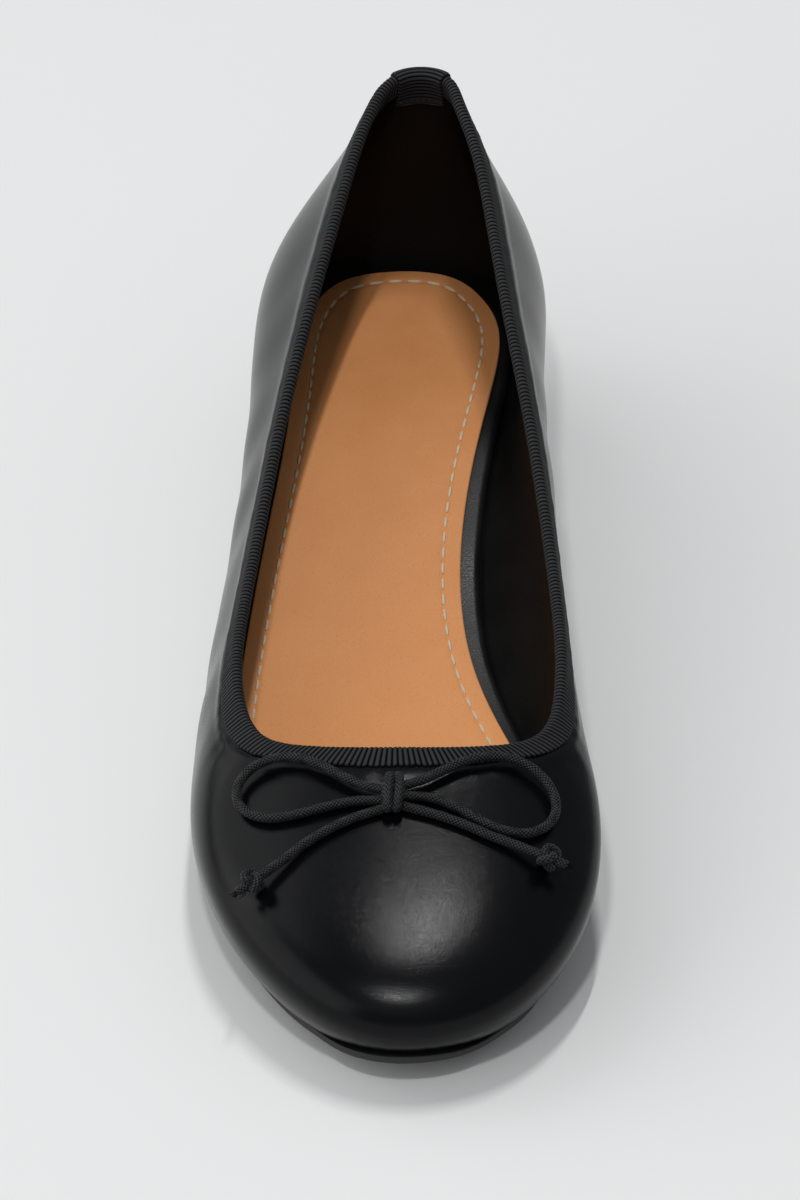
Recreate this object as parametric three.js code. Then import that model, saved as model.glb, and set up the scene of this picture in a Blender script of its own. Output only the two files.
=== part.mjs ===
// Women's ballet flat, right foot: round toe, low block heel, ribbon-bound topline and a cord bow.
// Millimetres, +Z up. The toe points to -Y, the inner side of the foot is +X.
// The origin is on the floor, under the middle of the heel.
import * as THREE from "three";

// Driving sizes of the last and the shoe
const featherLength = 249.5;
const heelWidth = 52;
const ballWidth = 78.5;
const counterHeight = 56.4;
const throatHeight = 37.2;
const heelHeight = 18;
const toeSpring = 6.5;

// Thicknesses
const upperWall = 1.4;
const soleThickness = 2;
const insoleThickness = 2.6;
const sockThickness = 1;
const topPieceThickness = 4.5;
const ribbonThickness = 0.6;
const tabThickness = 0.6;

// Edges, widths and small parts
const featherRadius = 2.4;
const lastingMargin = 8;
const soleHeelEdge = 0.2;
const soleSideEdge = -1.3;
const soleToeEdge = 0.3;
const soleRounding = 0.9;
const insoleRounding = 1.1;
const insoleInset = 0.7;
const sockInset = 2.7;
const sockHeelInset = 1.8;
const sockWaistInset = 1.4;
const ribbonWidth = 4.3;
const tabWidth = 13;
const tabOuterDrop = 9;
const tabInnerDrop = 7;
const heelBlockLength = 47;
const heelBlockInset = 1.2;
const heelTaper = 1.8;
const breastHollow = 2.5;
const cordDiameter = 1.9;
const bowDrop = 13;
const bowKnotLength = 11.5;
const bowKnotWidth = 4.8;
const tailKnotDiameter = 5.4;

// Pieces that meet stay this far apart.
const gap = 0.3;

// Places along the last, as shares of its length from the heel
const seatEnd = 0.2;
const treadStart = 0.6;
const treadEnd = 0.76;
const waistFrom = 0.1;
const waistMiddle = 0.42;
const waistTo = 0.74;
const toeFrom = 0.955;

// Sections of the upper, from the heel to the toe. Each row joins a point of the feather edge, at
// outer and inner, to a point of the topline, at topOuter and topInner. Sideways values are shares of
// the last's local width, rise is a share of the local wall height. The wall leaves the feather edge
// bent outwards by swell over a share stand of its rise, and comes to the topline from hang outside
// it and a share drop below it. The facets to the next row are counted in parts.
const sections = [
  { at: 0, outer: -0.017, inner: -0.017, topAt: 0, topOuter: 0.062, topInner: 0.062, rise: 1,
    swellOuter: 0.09, swellInner: 0.09, stand: 0.36, hangOuter: 0.055, hangInner: 0.055, drop: 0.36, parts: 4 },
  { at: 0.012, outer: -0.285, inner: 0.225, topAt: 0.011, topOuter: -0.065, topInner: 0.185, rise: 0.998,
    swellOuter: 0.11, swellInner: 0.12, stand: 0.36, hangOuter: 0.09, hangInner: 0.09, drop: 0.36, parts: 5 },
  { at: 0.05, outer: -0.45, inner: 0.385, topAt: 0.045, topOuter: -0.147, topInner: 0.242, rise: 0.985,
    swellOuter: 0.175, swellInner: 0.185, stand: 0.36, hangOuter: 0.14, hangInner: 0.13, drop: 0.36, parts: 5 },
  { at: 0.12, outer: -0.54, inner: 0.477, topAt: 0.115, topOuter: -0.233, topInner: 0.33, rise: 0.945,
    swellOuter: 0.24, swellInner: 0.238, stand: 0.36, hangOuter: 0.187, hangInner: 0.174, drop: 0.36, parts: 4 },
  { at: 0.24, outer: -0.57, inner: 0.42, topAt: 0.235, topOuter: -0.35, topInner: 0.417, rise: 0.88,
    swellOuter: 0.18, swellInner: 0.28, stand: 0.36, hangOuter: 0.15, hangInner: 0.148, drop: 0.36, parts: 4 },
  { at: 0.37, outer: -0.545, inner: 0.305, topAt: 0.365, topOuter: -0.4, topInner: 0.444, rise: 0.9,
    swellOuter: 0.07, swellInner: 0.28, stand: 0.36, hangOuter: 0.093, hangInner: 0.106, drop: 0.38, parts: 4 },
  { at: 0.5, outer: -0.508, inner: 0.29, topAt: 0.49, topOuter: -0.396, topInner: 0.432, rise: 0.98,
    swellOuter: 0.045, swellInner: 0.197, stand: 0.37, hangOuter: 0.076, hangInner: 0.058, drop: 0.38, parts: 3 },
  { at: 0.62, outer: -0.502, inner: 0.398, topAt: 0.602, topOuter: -0.414, topInner: 0.444, rise: 0.99,
    swellOuter: 0.055, swellInner: 0.102, stand: 0.38, hangOuter: 0.079, hangInner: 0.046, drop: 0.36, parts: 3 },
  { at: 0.72, outer: -0.497, inner: 0.457, topAt: 0.669, topOuter: -0.412, topInner: 0.445, rise: 0.95,
    swellOuter: 0.076, swellInner: 0.074, stand: 0.42, hangOuter: 0.106, hangInner: 0.085, drop: 0.32, parts: 3 },
  { at: 0.81, outer: -0.444, inner: 0.457, topAt: 0.711, topOuter: -0.38, topInner: 0.423, rise: 0.93,
    swellOuter: 0.105, swellInner: 0.093, stand: 0.46, hangOuter: 0.193, hangInner: 0.172, drop: 0.27, parts: 4 },
  { at: 0.89, outer: -0.339, inner: 0.417, topAt: 0.74, topOuter: -0.32, topInner: 0.362, rise: 0.945,
    swellOuter: 0.153, swellInner: 0.158, stand: 0.47, hangOuter: 0.278, hangInner: 0.268, drop: 0.24, parts: 3 },
  { at: 0.95, outer: -0.225, inner: 0.328, topAt: 0.753, topOuter: -0.22, topInner: 0.255, rise: 0.97,
    swellOuter: 0.168, swellInner: 0.194, stand: 0.48, hangOuter: 0.35, hangInner: 0.35, drop: 0.22, parts: 3 },
  { at: 0.987, outer: -0.1, inner: 0.2, topAt: 0.759, topOuter: -0.11, topInner: 0.135, rise: 0.99,
    swellOuter: 0.167, swellInner: 0.19, stand: 0.48, hangOuter: 0.41, hangInner: 0.41, drop: 0.21, parts: 2 },
  { at: 1, outer: 0.042, inner: 0.042, topAt: 0.761, topOuter: 0.01, topInner: 0.01, rise: 1,
    swellOuter: 0.17, swellInner: 0.17, stand: 0.47, hangOuter: 0.43, hangInner: 0.43, drop: 0.21, parts: 2 },
];

const toeStation = sections.length - 1;
const stationCount = 2 * toeStation;
const up = new THREE.Vector3(0, 0, 1);

// Eases from 0 to 1 with level ends.
function ease(t) {
  return THREE.MathUtils.smoothstep(t, 0, 1);
}

// Straight mix from a to b.
function mix(a, b, t) {
  return THREE.MathUtils.lerp(a, b, t);
}

// The heel's rest face is centred on the origin, so the heel's back lies this far behind it.
const heelBack = heelBlockInset + heelTaper + (heelBlockLength - breastHollow) / 2;

function yAt(at) {
  return heelBack - at * featherLength;
}

function atOf(y) {
  return (heelBack - y) / featherLength;
}

function localWidth(at) {
  return mix(heelWidth, ballWidth, ease((at - seatEnd) / (treadStart - seatEnd)));
}

function localHeight(at) {
  return mix(counterHeight, throatHeight, ease(at / treadStart));
}

// Height of the feather edge over the floor: level heel seat, shank, level tread, then toe spring.
function seatZ(at) {
  const shank = ease((at - seatEnd) / (treadStart - seatEnd));
  const spring = Math.max(0, (at - treadEnd) / (1 - treadEnd));
  return mix(heelHeight, soleThickness, shank) + toeSpring * spring * spring;
}

// A closed smooth curve through values at whole stations: a periodic cubic spline, whose second
// differences are settled by repeated averaging.
function closedSpline(values) {
  const n = values.length;
  const at = (i) => ((i % n) + n) % n;
  let bends = values.map(() => 0);
  for (let pass = 0; pass < 60; pass += 1) {
    bends = bends.map((_, i) => {
      const second = values[at(i + 1)] - 2 * values[i] + values[at(i - 1)];
      return (6 * second - bends[at(i - 1)] - bends[at(i + 1)]) / 4;
    });
  }
  return (u) => {
    const i = Math.floor(u);
    const t = u - i;
    const s = 1 - t;
    const straight = s * values[at(i)] + t * values[at(i + 1)];
    return straight + ((s * s * s - s) * bends[at(i)] + (t * t * t - t) * bends[at(i + 1)]) / 6;
  };
}

// Station u runs from the heel, 0, along the outer side to the toe and back along the inner side.
function loopOf(pick) {
  const outer = sections.map((row) => pick(row, "Outer"));
  const inner = sections.slice(1, -1).map((row) => pick(row, "Inner"));
  return closedSpline(outer.concat(inner.reverse()));
}

const sideKey = { Outer: "outer", Inner: "inner" };
const loops = {
  x: loopOf((row, side) => row[sideKey[side]] * localWidth(row.at)),
  y: loopOf((row) => yAt(row.at)),
  topX: loopOf((row, side) => row["top" + side] * localWidth(row.at)),
  topY: loopOf((row) => yAt(row.topAt)),
  rise: loopOf((row) => row.rise * localHeight(row.at)),
  swell: loopOf((row, side) => row["swell" + side] * localWidth(row.at)),
  hang: loopOf((row, side) => row["hang" + side] * localWidth(row.at)),
  stand: loopOf((row) => row.stand),
  drop: loopOf((row) => row.drop),
};

// A point of the feather edge, moved out by an offset, and the outward direction in plan.
function feather(u, offset = 0) {
  const step = 0.01;
  const along = new THREE.Vector3(
    loops.x(u + step) - loops.x(u - step),
    loops.y(u + step) - loops.y(u - step),
    0,
  ).normalize();
  const out = new THREE.Vector3().crossVectors(along, up);
  const point = new THREE.Vector3(loops.x(u), loops.y(u), 0).addScaledVector(out, offset);
  point.z = seatZ(atOf(loops.y(u)));
  return { point, out };
}

// The centre of the bend at the feather edge, and a direction from it, turned up from level.
function bendCentre(u) {
  const { point, out } = feather(u);
  const centre = point.clone().addScaledVector(out, -featherRadius);
  centre.z = seatZ(atOf(centre.y)) + gap + featherRadius;
  return { centre, out };
}

function tilted(out, angle) {
  return out.clone().multiplyScalar(Math.cos(angle)).addScaledVector(up, Math.sin(angle));
}

// How far the wall leans out where it leaves the feather edge.
function startLean(u) {
  return Math.atan2(loops.swell(u), loops.stand(u) * loops.rise(u));
}

// The outside of the upper at station u: v runs from the feather edge, 0, to the topline, 1.
function wallPoint(u, v) {
  const { centre, out } = bendCentre(u);
  const rise = loops.rise(u);
  const swell = loops.swell(u);
  const stand = loops.stand(u) * rise;
  const p0 = centre.addScaledVector(tilted(out, -startLean(u)), featherRadius);
  const p1 = p0.clone().addScaledVector(out, swell).addScaledVector(up, stand);
  const topY = loops.topY(u);
  const p3 = new THREE.Vector3(loops.topX(u), topY, seatZ(atOf(topY)) + rise);
  const p2 = p3.clone().addScaledVector(out, loops.hang(u)).addScaledVector(up, -loops.drop(u) * rise);
  const w = 1 - v;
  return p0
    .multiplyScalar(w * w * w)
    .addScaledVector(p1, 3 * w * w * v)
    .addScaledVector(p2, 3 * w * v * v)
    .addScaledVector(p3, v * v * v);
}

// The outward normal of the wall and its direction towards the topline.
function wallFrame(u, v) {
  const du = 0.02;
  const dv = 0.01;
  const low = Math.max(0, v - dv);
  const high = Math.min(1, v + dv);
  const climb = wallPoint(u, high).sub(wallPoint(u, low));
  const along = wallPoint(u + du, v).sub(wallPoint(u - du, v));
  const normal = new THREE.Vector3().crossVectors(along, climb).normalize();
  return { normal, climb: climb.normalize() };
}

// A point at a depth over the wall's outside, and past it towards the topline.
function overWall(u, v, lift, past = 0) {
  const { normal, climb } = wallFrame(u, v);
  return wallPoint(u, v).addScaledVector(normal, lift).addScaledVector(climb, past);
}

// The value v that lies a distance below the topline.
function belowTop(u, distance) {
  const step = 0.02;
  const length = wallPoint(u, 1).distanceTo(wallPoint(u, 1 - step)) / step;
  return 1 - distance / length;
}

// Turns rings of points, each a closed outline, into a closed surface. Open rows of rings get caps.
function skin(rings, closed) {
  const size = rings[0].length;
  const position = [];
  rings.flat().forEach((p) => position.push(p.x, p.y, p.z));
  const index = [];
  const spans = closed ? rings.length : rings.length - 1;
  for (let i = 0; i < spans; i += 1) {
    const next = (i + 1) % rings.length;
    for (let k = 0; k < size; k += 1) {
      const l = (k + 1) % size;
      const a = i * size + k;
      const b = i * size + l;
      const c = next * size + l;
      const d = next * size + k;
      index.push(a, b, c, a, c, d);
    }
  }
  if (!closed) {
    [0, rings.length - 1].forEach((i) => {
      const centre = new THREE.Vector3();
      rings[i].forEach((p) => centre.addScaledVector(p, 1 / size));
      const middle = position.length / 3;
      position.push(centre.x, centre.y, centre.z);
      for (let k = 0; k < size; k += 1) {
        const a = i * size + k;
        const b = i * size + ((k + 1) % size);
        index.push(...(i === 0 ? [middle, b, a] : [middle, a, b]));
      }
    });
  }
  const geometry = new THREE.BufferGeometry();
  geometry.setAttribute("position", new THREE.Float32BufferAttribute(position, 3));
  geometry.setIndex(index);
  geometry.computeVertexNormals();
  return geometry;
}

// Stations all round, with each row's parts up to the next row.
const stations = [];
for (let i = 0; i < stationCount; i += 1) {
  const row = i < toeStation ? i : stationCount - 1 - i;
  const { parts } = sections[row];
  for (let k = 0; k < parts; k += 1) {
    stations.push(i + k / parts);
  }
}

// The upper: a lasting margin under the insole, the feather edge's bend, then the wall. The inside
// runs back one wall thickness in, with every second row of the wall.
function upperSection(u) {
  const wallRows = 10;
  const bendRows = 2;
  const { centre, out } = bendCentre(u);
  const lean = startLean(u);
  const down = up.clone().negate();
  const end = centre.clone().addScaledVector(out, featherRadius - lastingMargin);
  end.z = seatZ(atOf(end.y)) + gap;
  const rows = [{ point: end, normal: down }];
  for (let k = 0; k < bendRows + 1; k += 1) {
    const normal = tilted(out, mix(-Math.PI / 2, -lean, k / (bendRows + 1)));
    rows.push({ point: centre.clone().addScaledVector(normal, featherRadius), normal });
  }
  for (let k = 0; k < wallRows + 1; k += 1) {
    const v = k / wallRows;
    rows.push({ point: wallPoint(u, v), normal: wallFrame(u, v).normal });
  }
  const inside = rows
    .filter((_, k) => k < bendRows + 2 || k % 2 === 0 || k > wallRows)
    .map((row) => row.point.clone().addScaledVector(row.normal, -upperWall));
  return inside.concat(rows.map((row) => row.point).reverse());
}

// A ribbon folded over the topline, with legs of given lengths outside and inside, over what lies
// under it. The station may change a little down the legs.
function foldedSection(stationAt, under, thickness, outerLeg, innerLeg) {
  const near = under + gap;
  const far = near + thickness;
  const back = -upperWall;
  const trim = thickness * 0.4;
  const leg = (length, lift) => [1, 0].map((share) => {
    const v = belowTop(stationAt(1), length * share);
    return overWall(stationAt(v), v, lift);
  });
  const top = stationAt(1);
  const cover = [
    ...leg(outerLeg, far),
    overWall(top, 1, far - trim, far),
    overWall(top, 1, back - far + trim, far),
    ...leg(innerLeg, back - far).reverse(),
  ];
  const lining = [
    ...leg(outerLeg, near),
    overWall(top, 1, near, near),
    overWall(top, 1, back - near, near),
    ...leg(innerLeg, back - near).reverse(),
  ];
  return lining.concat(cover.reverse());
}

// The station a distance along the wall from the middle of the heel, at height v.
function besideHeel(distance, v) {
  const step = 0.02;
  return (distance * 2 * step) / wallPoint(step, v).distanceTo(wallPoint(-step, v));
}

// The outline of a bottom piece at an offset from the feather edge, as sideways places at a
// distance along the shoe.
function outline(offset) {
  const perSide = 240;
  const side = (from, to) => {
    const points = [];
    for (let k = 0; k < perSide + 1; k += 1) {
      const u = mix(from, to, k / perSide);
      points.push(feather(u, offset(u)).point);
    }
    return points;
  };
  const outer = side(0, toeStation);
  const inner = side(stationCount, toeStation);
  const sideways = (points, y) => {
    let k = 1;
    while (k < points.length - 1 && points[k].y > y) {
      k += 1;
    }
    const a = points[k - 1];
    const b = points[k];
    return mix(a.x, b.x, THREE.MathUtils.clamp((a.y - y) / (a.y - b.y), 0, 1));
  };
  return {
    back: outer[0].y,
    front: outer[perSide].y,
    across: (y) => [sideways(outer, y), sideways(inner, y)],
  };
}

// A plate that follows the bottom of the last, from rungs across an outline, with rounded edges.
function plate(offset, bottomOver, thickness, topRounding, bottomRounding, floor = -Infinity) {
  const rungs = 40;
  const endShare = 0.35;
  const edge = outline(offset);
  const rings = [];
  for (let j = 0; j < rungs + 1; j += 1) {
    const turn = (Math.PI * (j + endShare)) / (rungs + 2 * endShare);
    const y = mix(edge.back, edge.front, (1 - Math.cos(turn)) / 2);
    const [left, right] = edge.across(y);
    const top = seatZ(atOf(y)) + bottomOver + thickness;
    const bottom = Math.max(floor, top - thickness);
    const most = (right - left) / 4;
    const t = Math.min(topRounding, most);
    const b = Math.min(bottomRounding, most);
    const corners = [
      [right - b, bottom], [right, bottom + b], [right, top - t], [right - t, top],
      [left + t, top], [left, top - t], [left, bottom + b], [left + b, bottom],
    ];
    rings.push(corners.map(([x, z]) => new THREE.Vector3(x, y, z)));
  }
  return skin(rings, false);
}

const insoleIn = -(upperWall + insoleInset);

// The sole's edge is trimmed close at the heel, lies in under the upper's bulge along the forepart
// and comes out again round the toe.
function soleOffset(u) {
  const at = atOf(loops.y(u));
  const side = mix(soleHeelEdge, soleSideEdge, ease((at - seatEnd) / (treadStart - seatEnd)));
  return mix(side, soleToeEdge, ease((at - toeFrom) / (1 - toeFrom)));
}

// The sock lies nearer to the insole's edge at the heel, and further from it at the inner waist.
function sockOffset(u) {
  const at = atOf(loops.y(u));
  const inset = mix(sockHeelInset, sockInset, ease(at / seatEnd));
  const innerSide = u > toeStation ? 1 : 0;
  const rising = ease((at - waistFrom) / (waistMiddle - waistFrom));
  const falling = ease((waistTo - at) / (waistTo - waistMiddle));
  return insoleIn - inset - sockWaistInset * innerSide * rising * falling;
}

// Plan of the heel block at an inset: round at the back, with a hollow breast.
function heelPlan(inset, z) {
  const sidePoints = 12;
  const breastPoints = 5;
  const edge = outline(() => -inset);
  const breast = yAt(0) - heelBlockLength;
  const left = [];
  const right = [];
  for (let k = 0; k < sidePoints + 1; k += 1) {
    const share = 1 - Math.cos(((k + 0.3) / (sidePoints + 0.3)) * (Math.PI / 2));
    const y = mix(edge.back, breast, share);
    const [a, b] = edge.across(y);
    left.push(new THREE.Vector3(a, y, z));
    right.push(new THREE.Vector3(b, y, z));
  }
  const from = left[sidePoints];
  const to = right[sidePoints];
  const front = [];
  for (let k = 1; k < breastPoints; k += 1) {
    const t = k / breastPoints;
    const point = from.clone().lerp(to, t);
    point.y += breastHollow * Math.sin(Math.PI * t);
    front.push(point);
  }
  return left.concat(front, right.reverse());
}

// The bow lies round a place below the throat. Its points are a distance across and along the shoe
// from there, and a lift over the leather.
const bowPlace = [toeStation, belowTop(toeStation, bowDrop)];

function onVamp([across, along, lift]) {
  const aim = overWall(...bowPlace, 0);
  aim.x += across;
  aim.y += along;
  let [u, v] = bowPlace;
  const step = 0.01;
  for (let pass = 0; pass < 12; pass += 1) {
    const here = overWall(u, v, lift);
    const du = overWall(u + step, v, lift).sub(here).divideScalar(step);
    const dv = overWall(u, v - step, lift).sub(here).divideScalar(-step);
    const off = aim.clone().sub(here);
    const area = du.x * dv.y - du.y * dv.x;
    u += THREE.MathUtils.clamp((off.x * dv.y - off.y * dv.x) / area, -0.6, 0.6);
    v += THREE.MathUtils.clamp((du.x * off.y - du.y * off.x) / area, -0.06, 0.06);
  }
  return overWall(u, v, lift);
}

// The bow's cord, with each route starting at the knot. Its points are chosen by eye.
const loopRoutes = {
  bow_loop_outer: [
    [-2.9, 0.9, 2], [-6.4, 1.9, 2.2], [-10.4, 4.2, 2.4], [-14.3, 6.9, 2.6], [-18.8, 9.5, 2.7],
    [-24, 10.6, 2.6], [-28.5, 9.7, 2.4], [-31.5, 6.6, 2.1], [-31.8, 2.8, 1.9], [-29.6, -0.9, 1.7],
    [-25.4, -3.3, 1.5], [-20, -3.5, 1.4], [-14, -2.4, 1.4], [-8.4, -1.4, 1.4], [-3, -1.3, 1.4],
  ],
  bow_loop_inner: [
    [2.9, 2.1, 2], [6.4, 3.4, 2.2], [10.6, 6, 2.4], [15.3, 8.7, 2.6], [20.6, 10.3, 2.7],
    [25.6, 9.9, 2.6], [29.7, 7.5, 2.4], [32.4, 3.5, 2.2], [32.8, -0.9, 2], [31, -4.6, 1.8],
    [27.3, -7.2, 1.6], [22.4, -7.3, 1.5], [17.1, -5.2, 1.4], [12.2, -2.3, 1.4], [7.4, -0.5, 1.4],
    [2.8, -0.2, 1.4],
  ],
};
const tailRoutes = {
  bow_tail_outer: [
    [-2.9, -3.8, 1.4], [-7.4, -5.4, 1.4], [-12.4, -7.8, 1.4], [-17.4, -11, 1.5], [-22, -15, 2],
    [-25.6, -17.8, 2.7],
  ],
  bow_tail_inner: [
    [2.8, -3, 1.4], [8.4, -4.6, 1.4], [14.1, -6.6, 1.4], [19.8, -9.1, 1.5], [24.6, -10.9, 1.9],
    [28.8, -12.8, 2.7],
  ],
};

// A tube of the cord's own thickness along a route.
function cord(route, spansPerPoint) {
  const sides = 8;
  const section = new THREE.Shape();
  for (let k = 0; k < sides; k += 1) {
    const angle = (2 * Math.PI * k) / sides;
    const x = (cordDiameter / 2) * Math.cos(angle);
    const y = (cordDiameter / 2) * Math.sin(angle);
    if (k === 0) {
      section.moveTo(x, y);
    } else {
      section.lineTo(x, y);
    }
  }
  const path = new THREE.CatmullRomCurve3(route.map(onVamp), false, "centripetal");
  return new THREE.ExtrudeGeometry(section, {
    steps: spansPerPoint * (route.length - 1),
    extrudePath: path,
    bevelEnabled: false,
  });
}

// Materials
function finish(color, roughness) {
  return new THREE.MeshStandardMaterial({ color, roughness, metalness: 0 });
}

const blackLeather = finish(0x111114, 0.42);
const blackRubber = finish(0x141416, 0.7);
const tanLeather = finish(0xb98558, 0.55);
const blackRibbon = finish(0x17181a, 0.85);
const blackCord = finish(0x121314, 0.8);

const tailKnot = new THREE.SphereGeometry(tailKnotDiameter / 2, 12, 8);
const shoe = new THREE.Group();

function add(name, geometry, material) {
  const mesh = new THREE.Mesh(geometry, material);
  mesh.name = name;
  shoe.add(mesh);
  return mesh;
}

// Upper and its ribbon
add("upper", skin(stations.map(upperSection), true), blackLeather);
const bindingSection = (u) => foldedSection(() => u, 0, ribbonThickness, ribbonWidth, ribbonWidth);
add("topline_binding", skin(stations.map(bindingSection), true), blackRibbon);
const tabParts = 8;
const tabSections = [];
for (let k = 0; k < tabParts + 1; k += 1) {
  const distance = tabWidth * (k / tabParts - 0.5);
  const station = (v) => besideHeel(distance, v);
  tabSections.push(foldedSection(station, gap + ribbonThickness, tabThickness, tabOuterDrop, tabInnerDrop));
}
add("heel_tab", skin(tabSections, false), blackRibbon);

// Bottom: outsole under the feather edge, heel block and top piece under its seat
add("outsole", plate(soleOffset, -soleThickness, soleThickness, 0.4, soleRounding, 0), blackRubber);
const blockTop = heelHeight - soleThickness - gap;
const blockBottom = topPieceThickness + gap;
const taperAt = (z) => heelBlockInset + heelTaper * (1 - z / blockTop);
const blockHeights = [blockBottom, (blockTop + blockBottom) / 2, blockTop];
add("heel_block", skin(blockHeights.map((z) => heelPlan(taperAt(z), z)), false), blackLeather);
const topPieceHeights = [0, topPieceThickness];
add("heel_top_piece", skin(topPieceHeights.map((z) => heelPlan(taperAt(z), z)), false), blackRubber);

// Inside: the wrapped insole on the lasting margin, and the sock on it
const insoleBottom = 2 * gap + upperWall;
add("insole", plate(() => insoleIn, insoleBottom, insoleThickness, insoleRounding, 0.3), blackLeather);
const sockBottom = insoleBottom + insoleThickness + gap;
add("sock", plate(sockOffset, sockBottom, sockThickness, 0.4, 0.2), tanLeather);

// Bow
const knot = new THREE.SphereGeometry(0.5, 14, 10);
knot.scale(bowKnotWidth, bowKnotLength, bowKnotWidth);
const { normal, climb } = wallFrame(...bowPlace);
const across = new THREE.Vector3().crossVectors(climb, normal);
const knotMesh = add("bow_knot", knot, blackCord);
knotMesh.quaternion.setFromRotationMatrix(new THREE.Matrix4().makeBasis(across, climb, normal));
knotMesh.position.copy(overWall(...bowPlace, gap + bowKnotWidth / 2));
Object.entries(loopRoutes).forEach(([name, route]) => add(name, cord(route, 2), blackCord));
Object.entries(tailRoutes).forEach(([name, route]) => {
  add(name, cord(route, 2), blackCord);
  const [before, last] = route.map(onVamp).slice(-2);
  const onward = last.clone().sub(before).normalize();
  const end = add(name.replace("tail", "tail_knot"), tailKnot.clone(), blackCord);
  end.position.copy(last).addScaledVector(onward, tailKnotDiameter / 2 + gap);
});

export default shoe;
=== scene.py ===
"""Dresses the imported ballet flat: black leather, grosgrain binding, cord bow, tan insole cover."""

import math

import bpy
import numpy as np
from mathutils import Matrix, Vector


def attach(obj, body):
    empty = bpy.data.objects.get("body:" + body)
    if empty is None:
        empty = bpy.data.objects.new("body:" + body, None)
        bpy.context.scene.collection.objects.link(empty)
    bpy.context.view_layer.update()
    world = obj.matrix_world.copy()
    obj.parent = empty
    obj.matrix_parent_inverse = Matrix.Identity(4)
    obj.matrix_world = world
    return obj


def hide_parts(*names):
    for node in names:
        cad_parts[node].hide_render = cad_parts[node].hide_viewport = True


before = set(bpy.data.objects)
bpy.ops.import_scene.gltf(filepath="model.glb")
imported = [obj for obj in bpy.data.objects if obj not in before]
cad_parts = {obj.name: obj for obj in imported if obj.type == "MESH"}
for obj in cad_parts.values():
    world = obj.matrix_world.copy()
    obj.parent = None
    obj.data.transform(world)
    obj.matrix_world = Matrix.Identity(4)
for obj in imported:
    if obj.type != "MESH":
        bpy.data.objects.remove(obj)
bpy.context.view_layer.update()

bl_info = {
    "name": "Ballet flat",
    "version": (1, 0, 0),
    "blender": (4, 5, 0),
    "location": "View3D > Sidebar > Ballet flat",
    "description": "Makes the pieces of a black leather ballet flat with a ribbon binding and a cord bow",
    "category": "Add Mesh",
}

# Named sizes of the last and its parts, in millimetres

FEATHER_LENGTH = 249.5
HEEL_WIDTH, BALL_WIDTH = 52.0, 78.5
COUNTER_HEIGHT, THROAT_HEIGHT = 56.4, 37.2
HEEL_HEIGHT, TOE_SPRING = 18.0, 6.5
UPPER_WALL, SOLE_THICKNESS, INSOLE_THICKNESS, SOCK_THICKNESS = 1.4, 2.0, 2.6, 1.0
TOP_PIECE_THICKNESS = 4.5
FEATHER_RADIUS, LASTING_MARGIN = 2.4, 8.0
INSOLE_INSET = 0.7
SOLE_HEEL_EDGE, SOLE_SIDE_EDGE, SOLE_TOE_EDGE = 0.2, -1.3, 0.3
SOCK_INSET, SOCK_HEEL_INSET, SOCK_WAIST_INSET = 2.7, 1.8, 1.4
HEEL_BLOCK_LENGTH, HEEL_BLOCK_INSET, HEEL_TAPER, BREAST_HOLLOW = 47.0, 1.2, 1.8, 2.5
TAB_WIDTH, TAB_OUTER_DROP, TAB_INNER_DROP = 13.0, 9.0, 7.0
BOW_DROP, BOW_KNOT_WIDTH, TAIL_KNOT_DIAMETER = 13.0, 4.8, 5.4
CORD_DOME, CORD_RELIEF, KNOT_RELIEF = 0.7, 0.11, 0.09
GAP = 0.3
RIBBON_SEAT, FOLD_DROP = 0.05, 0.35
INSOLE_EDGE = -(UPPER_WALL + INSOLE_INSET)
MILLIMETRE = 0.001
UP = np.array([0.0, 0.0, 1.0])
SEAT_END, TREAD_START, TREAD_END = 0.2, 0.6, 0.76
WAIST_FROM, WAIST_MIDDLE, WAIST_TO, TOE_FROM = 0.1, 0.42, 0.74, 0.955
HEEL_BACK = HEEL_BLOCK_INSET + HEEL_TAPER + (HEEL_BLOCK_LENGTH - BREAST_HOLLOW) / 2

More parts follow.
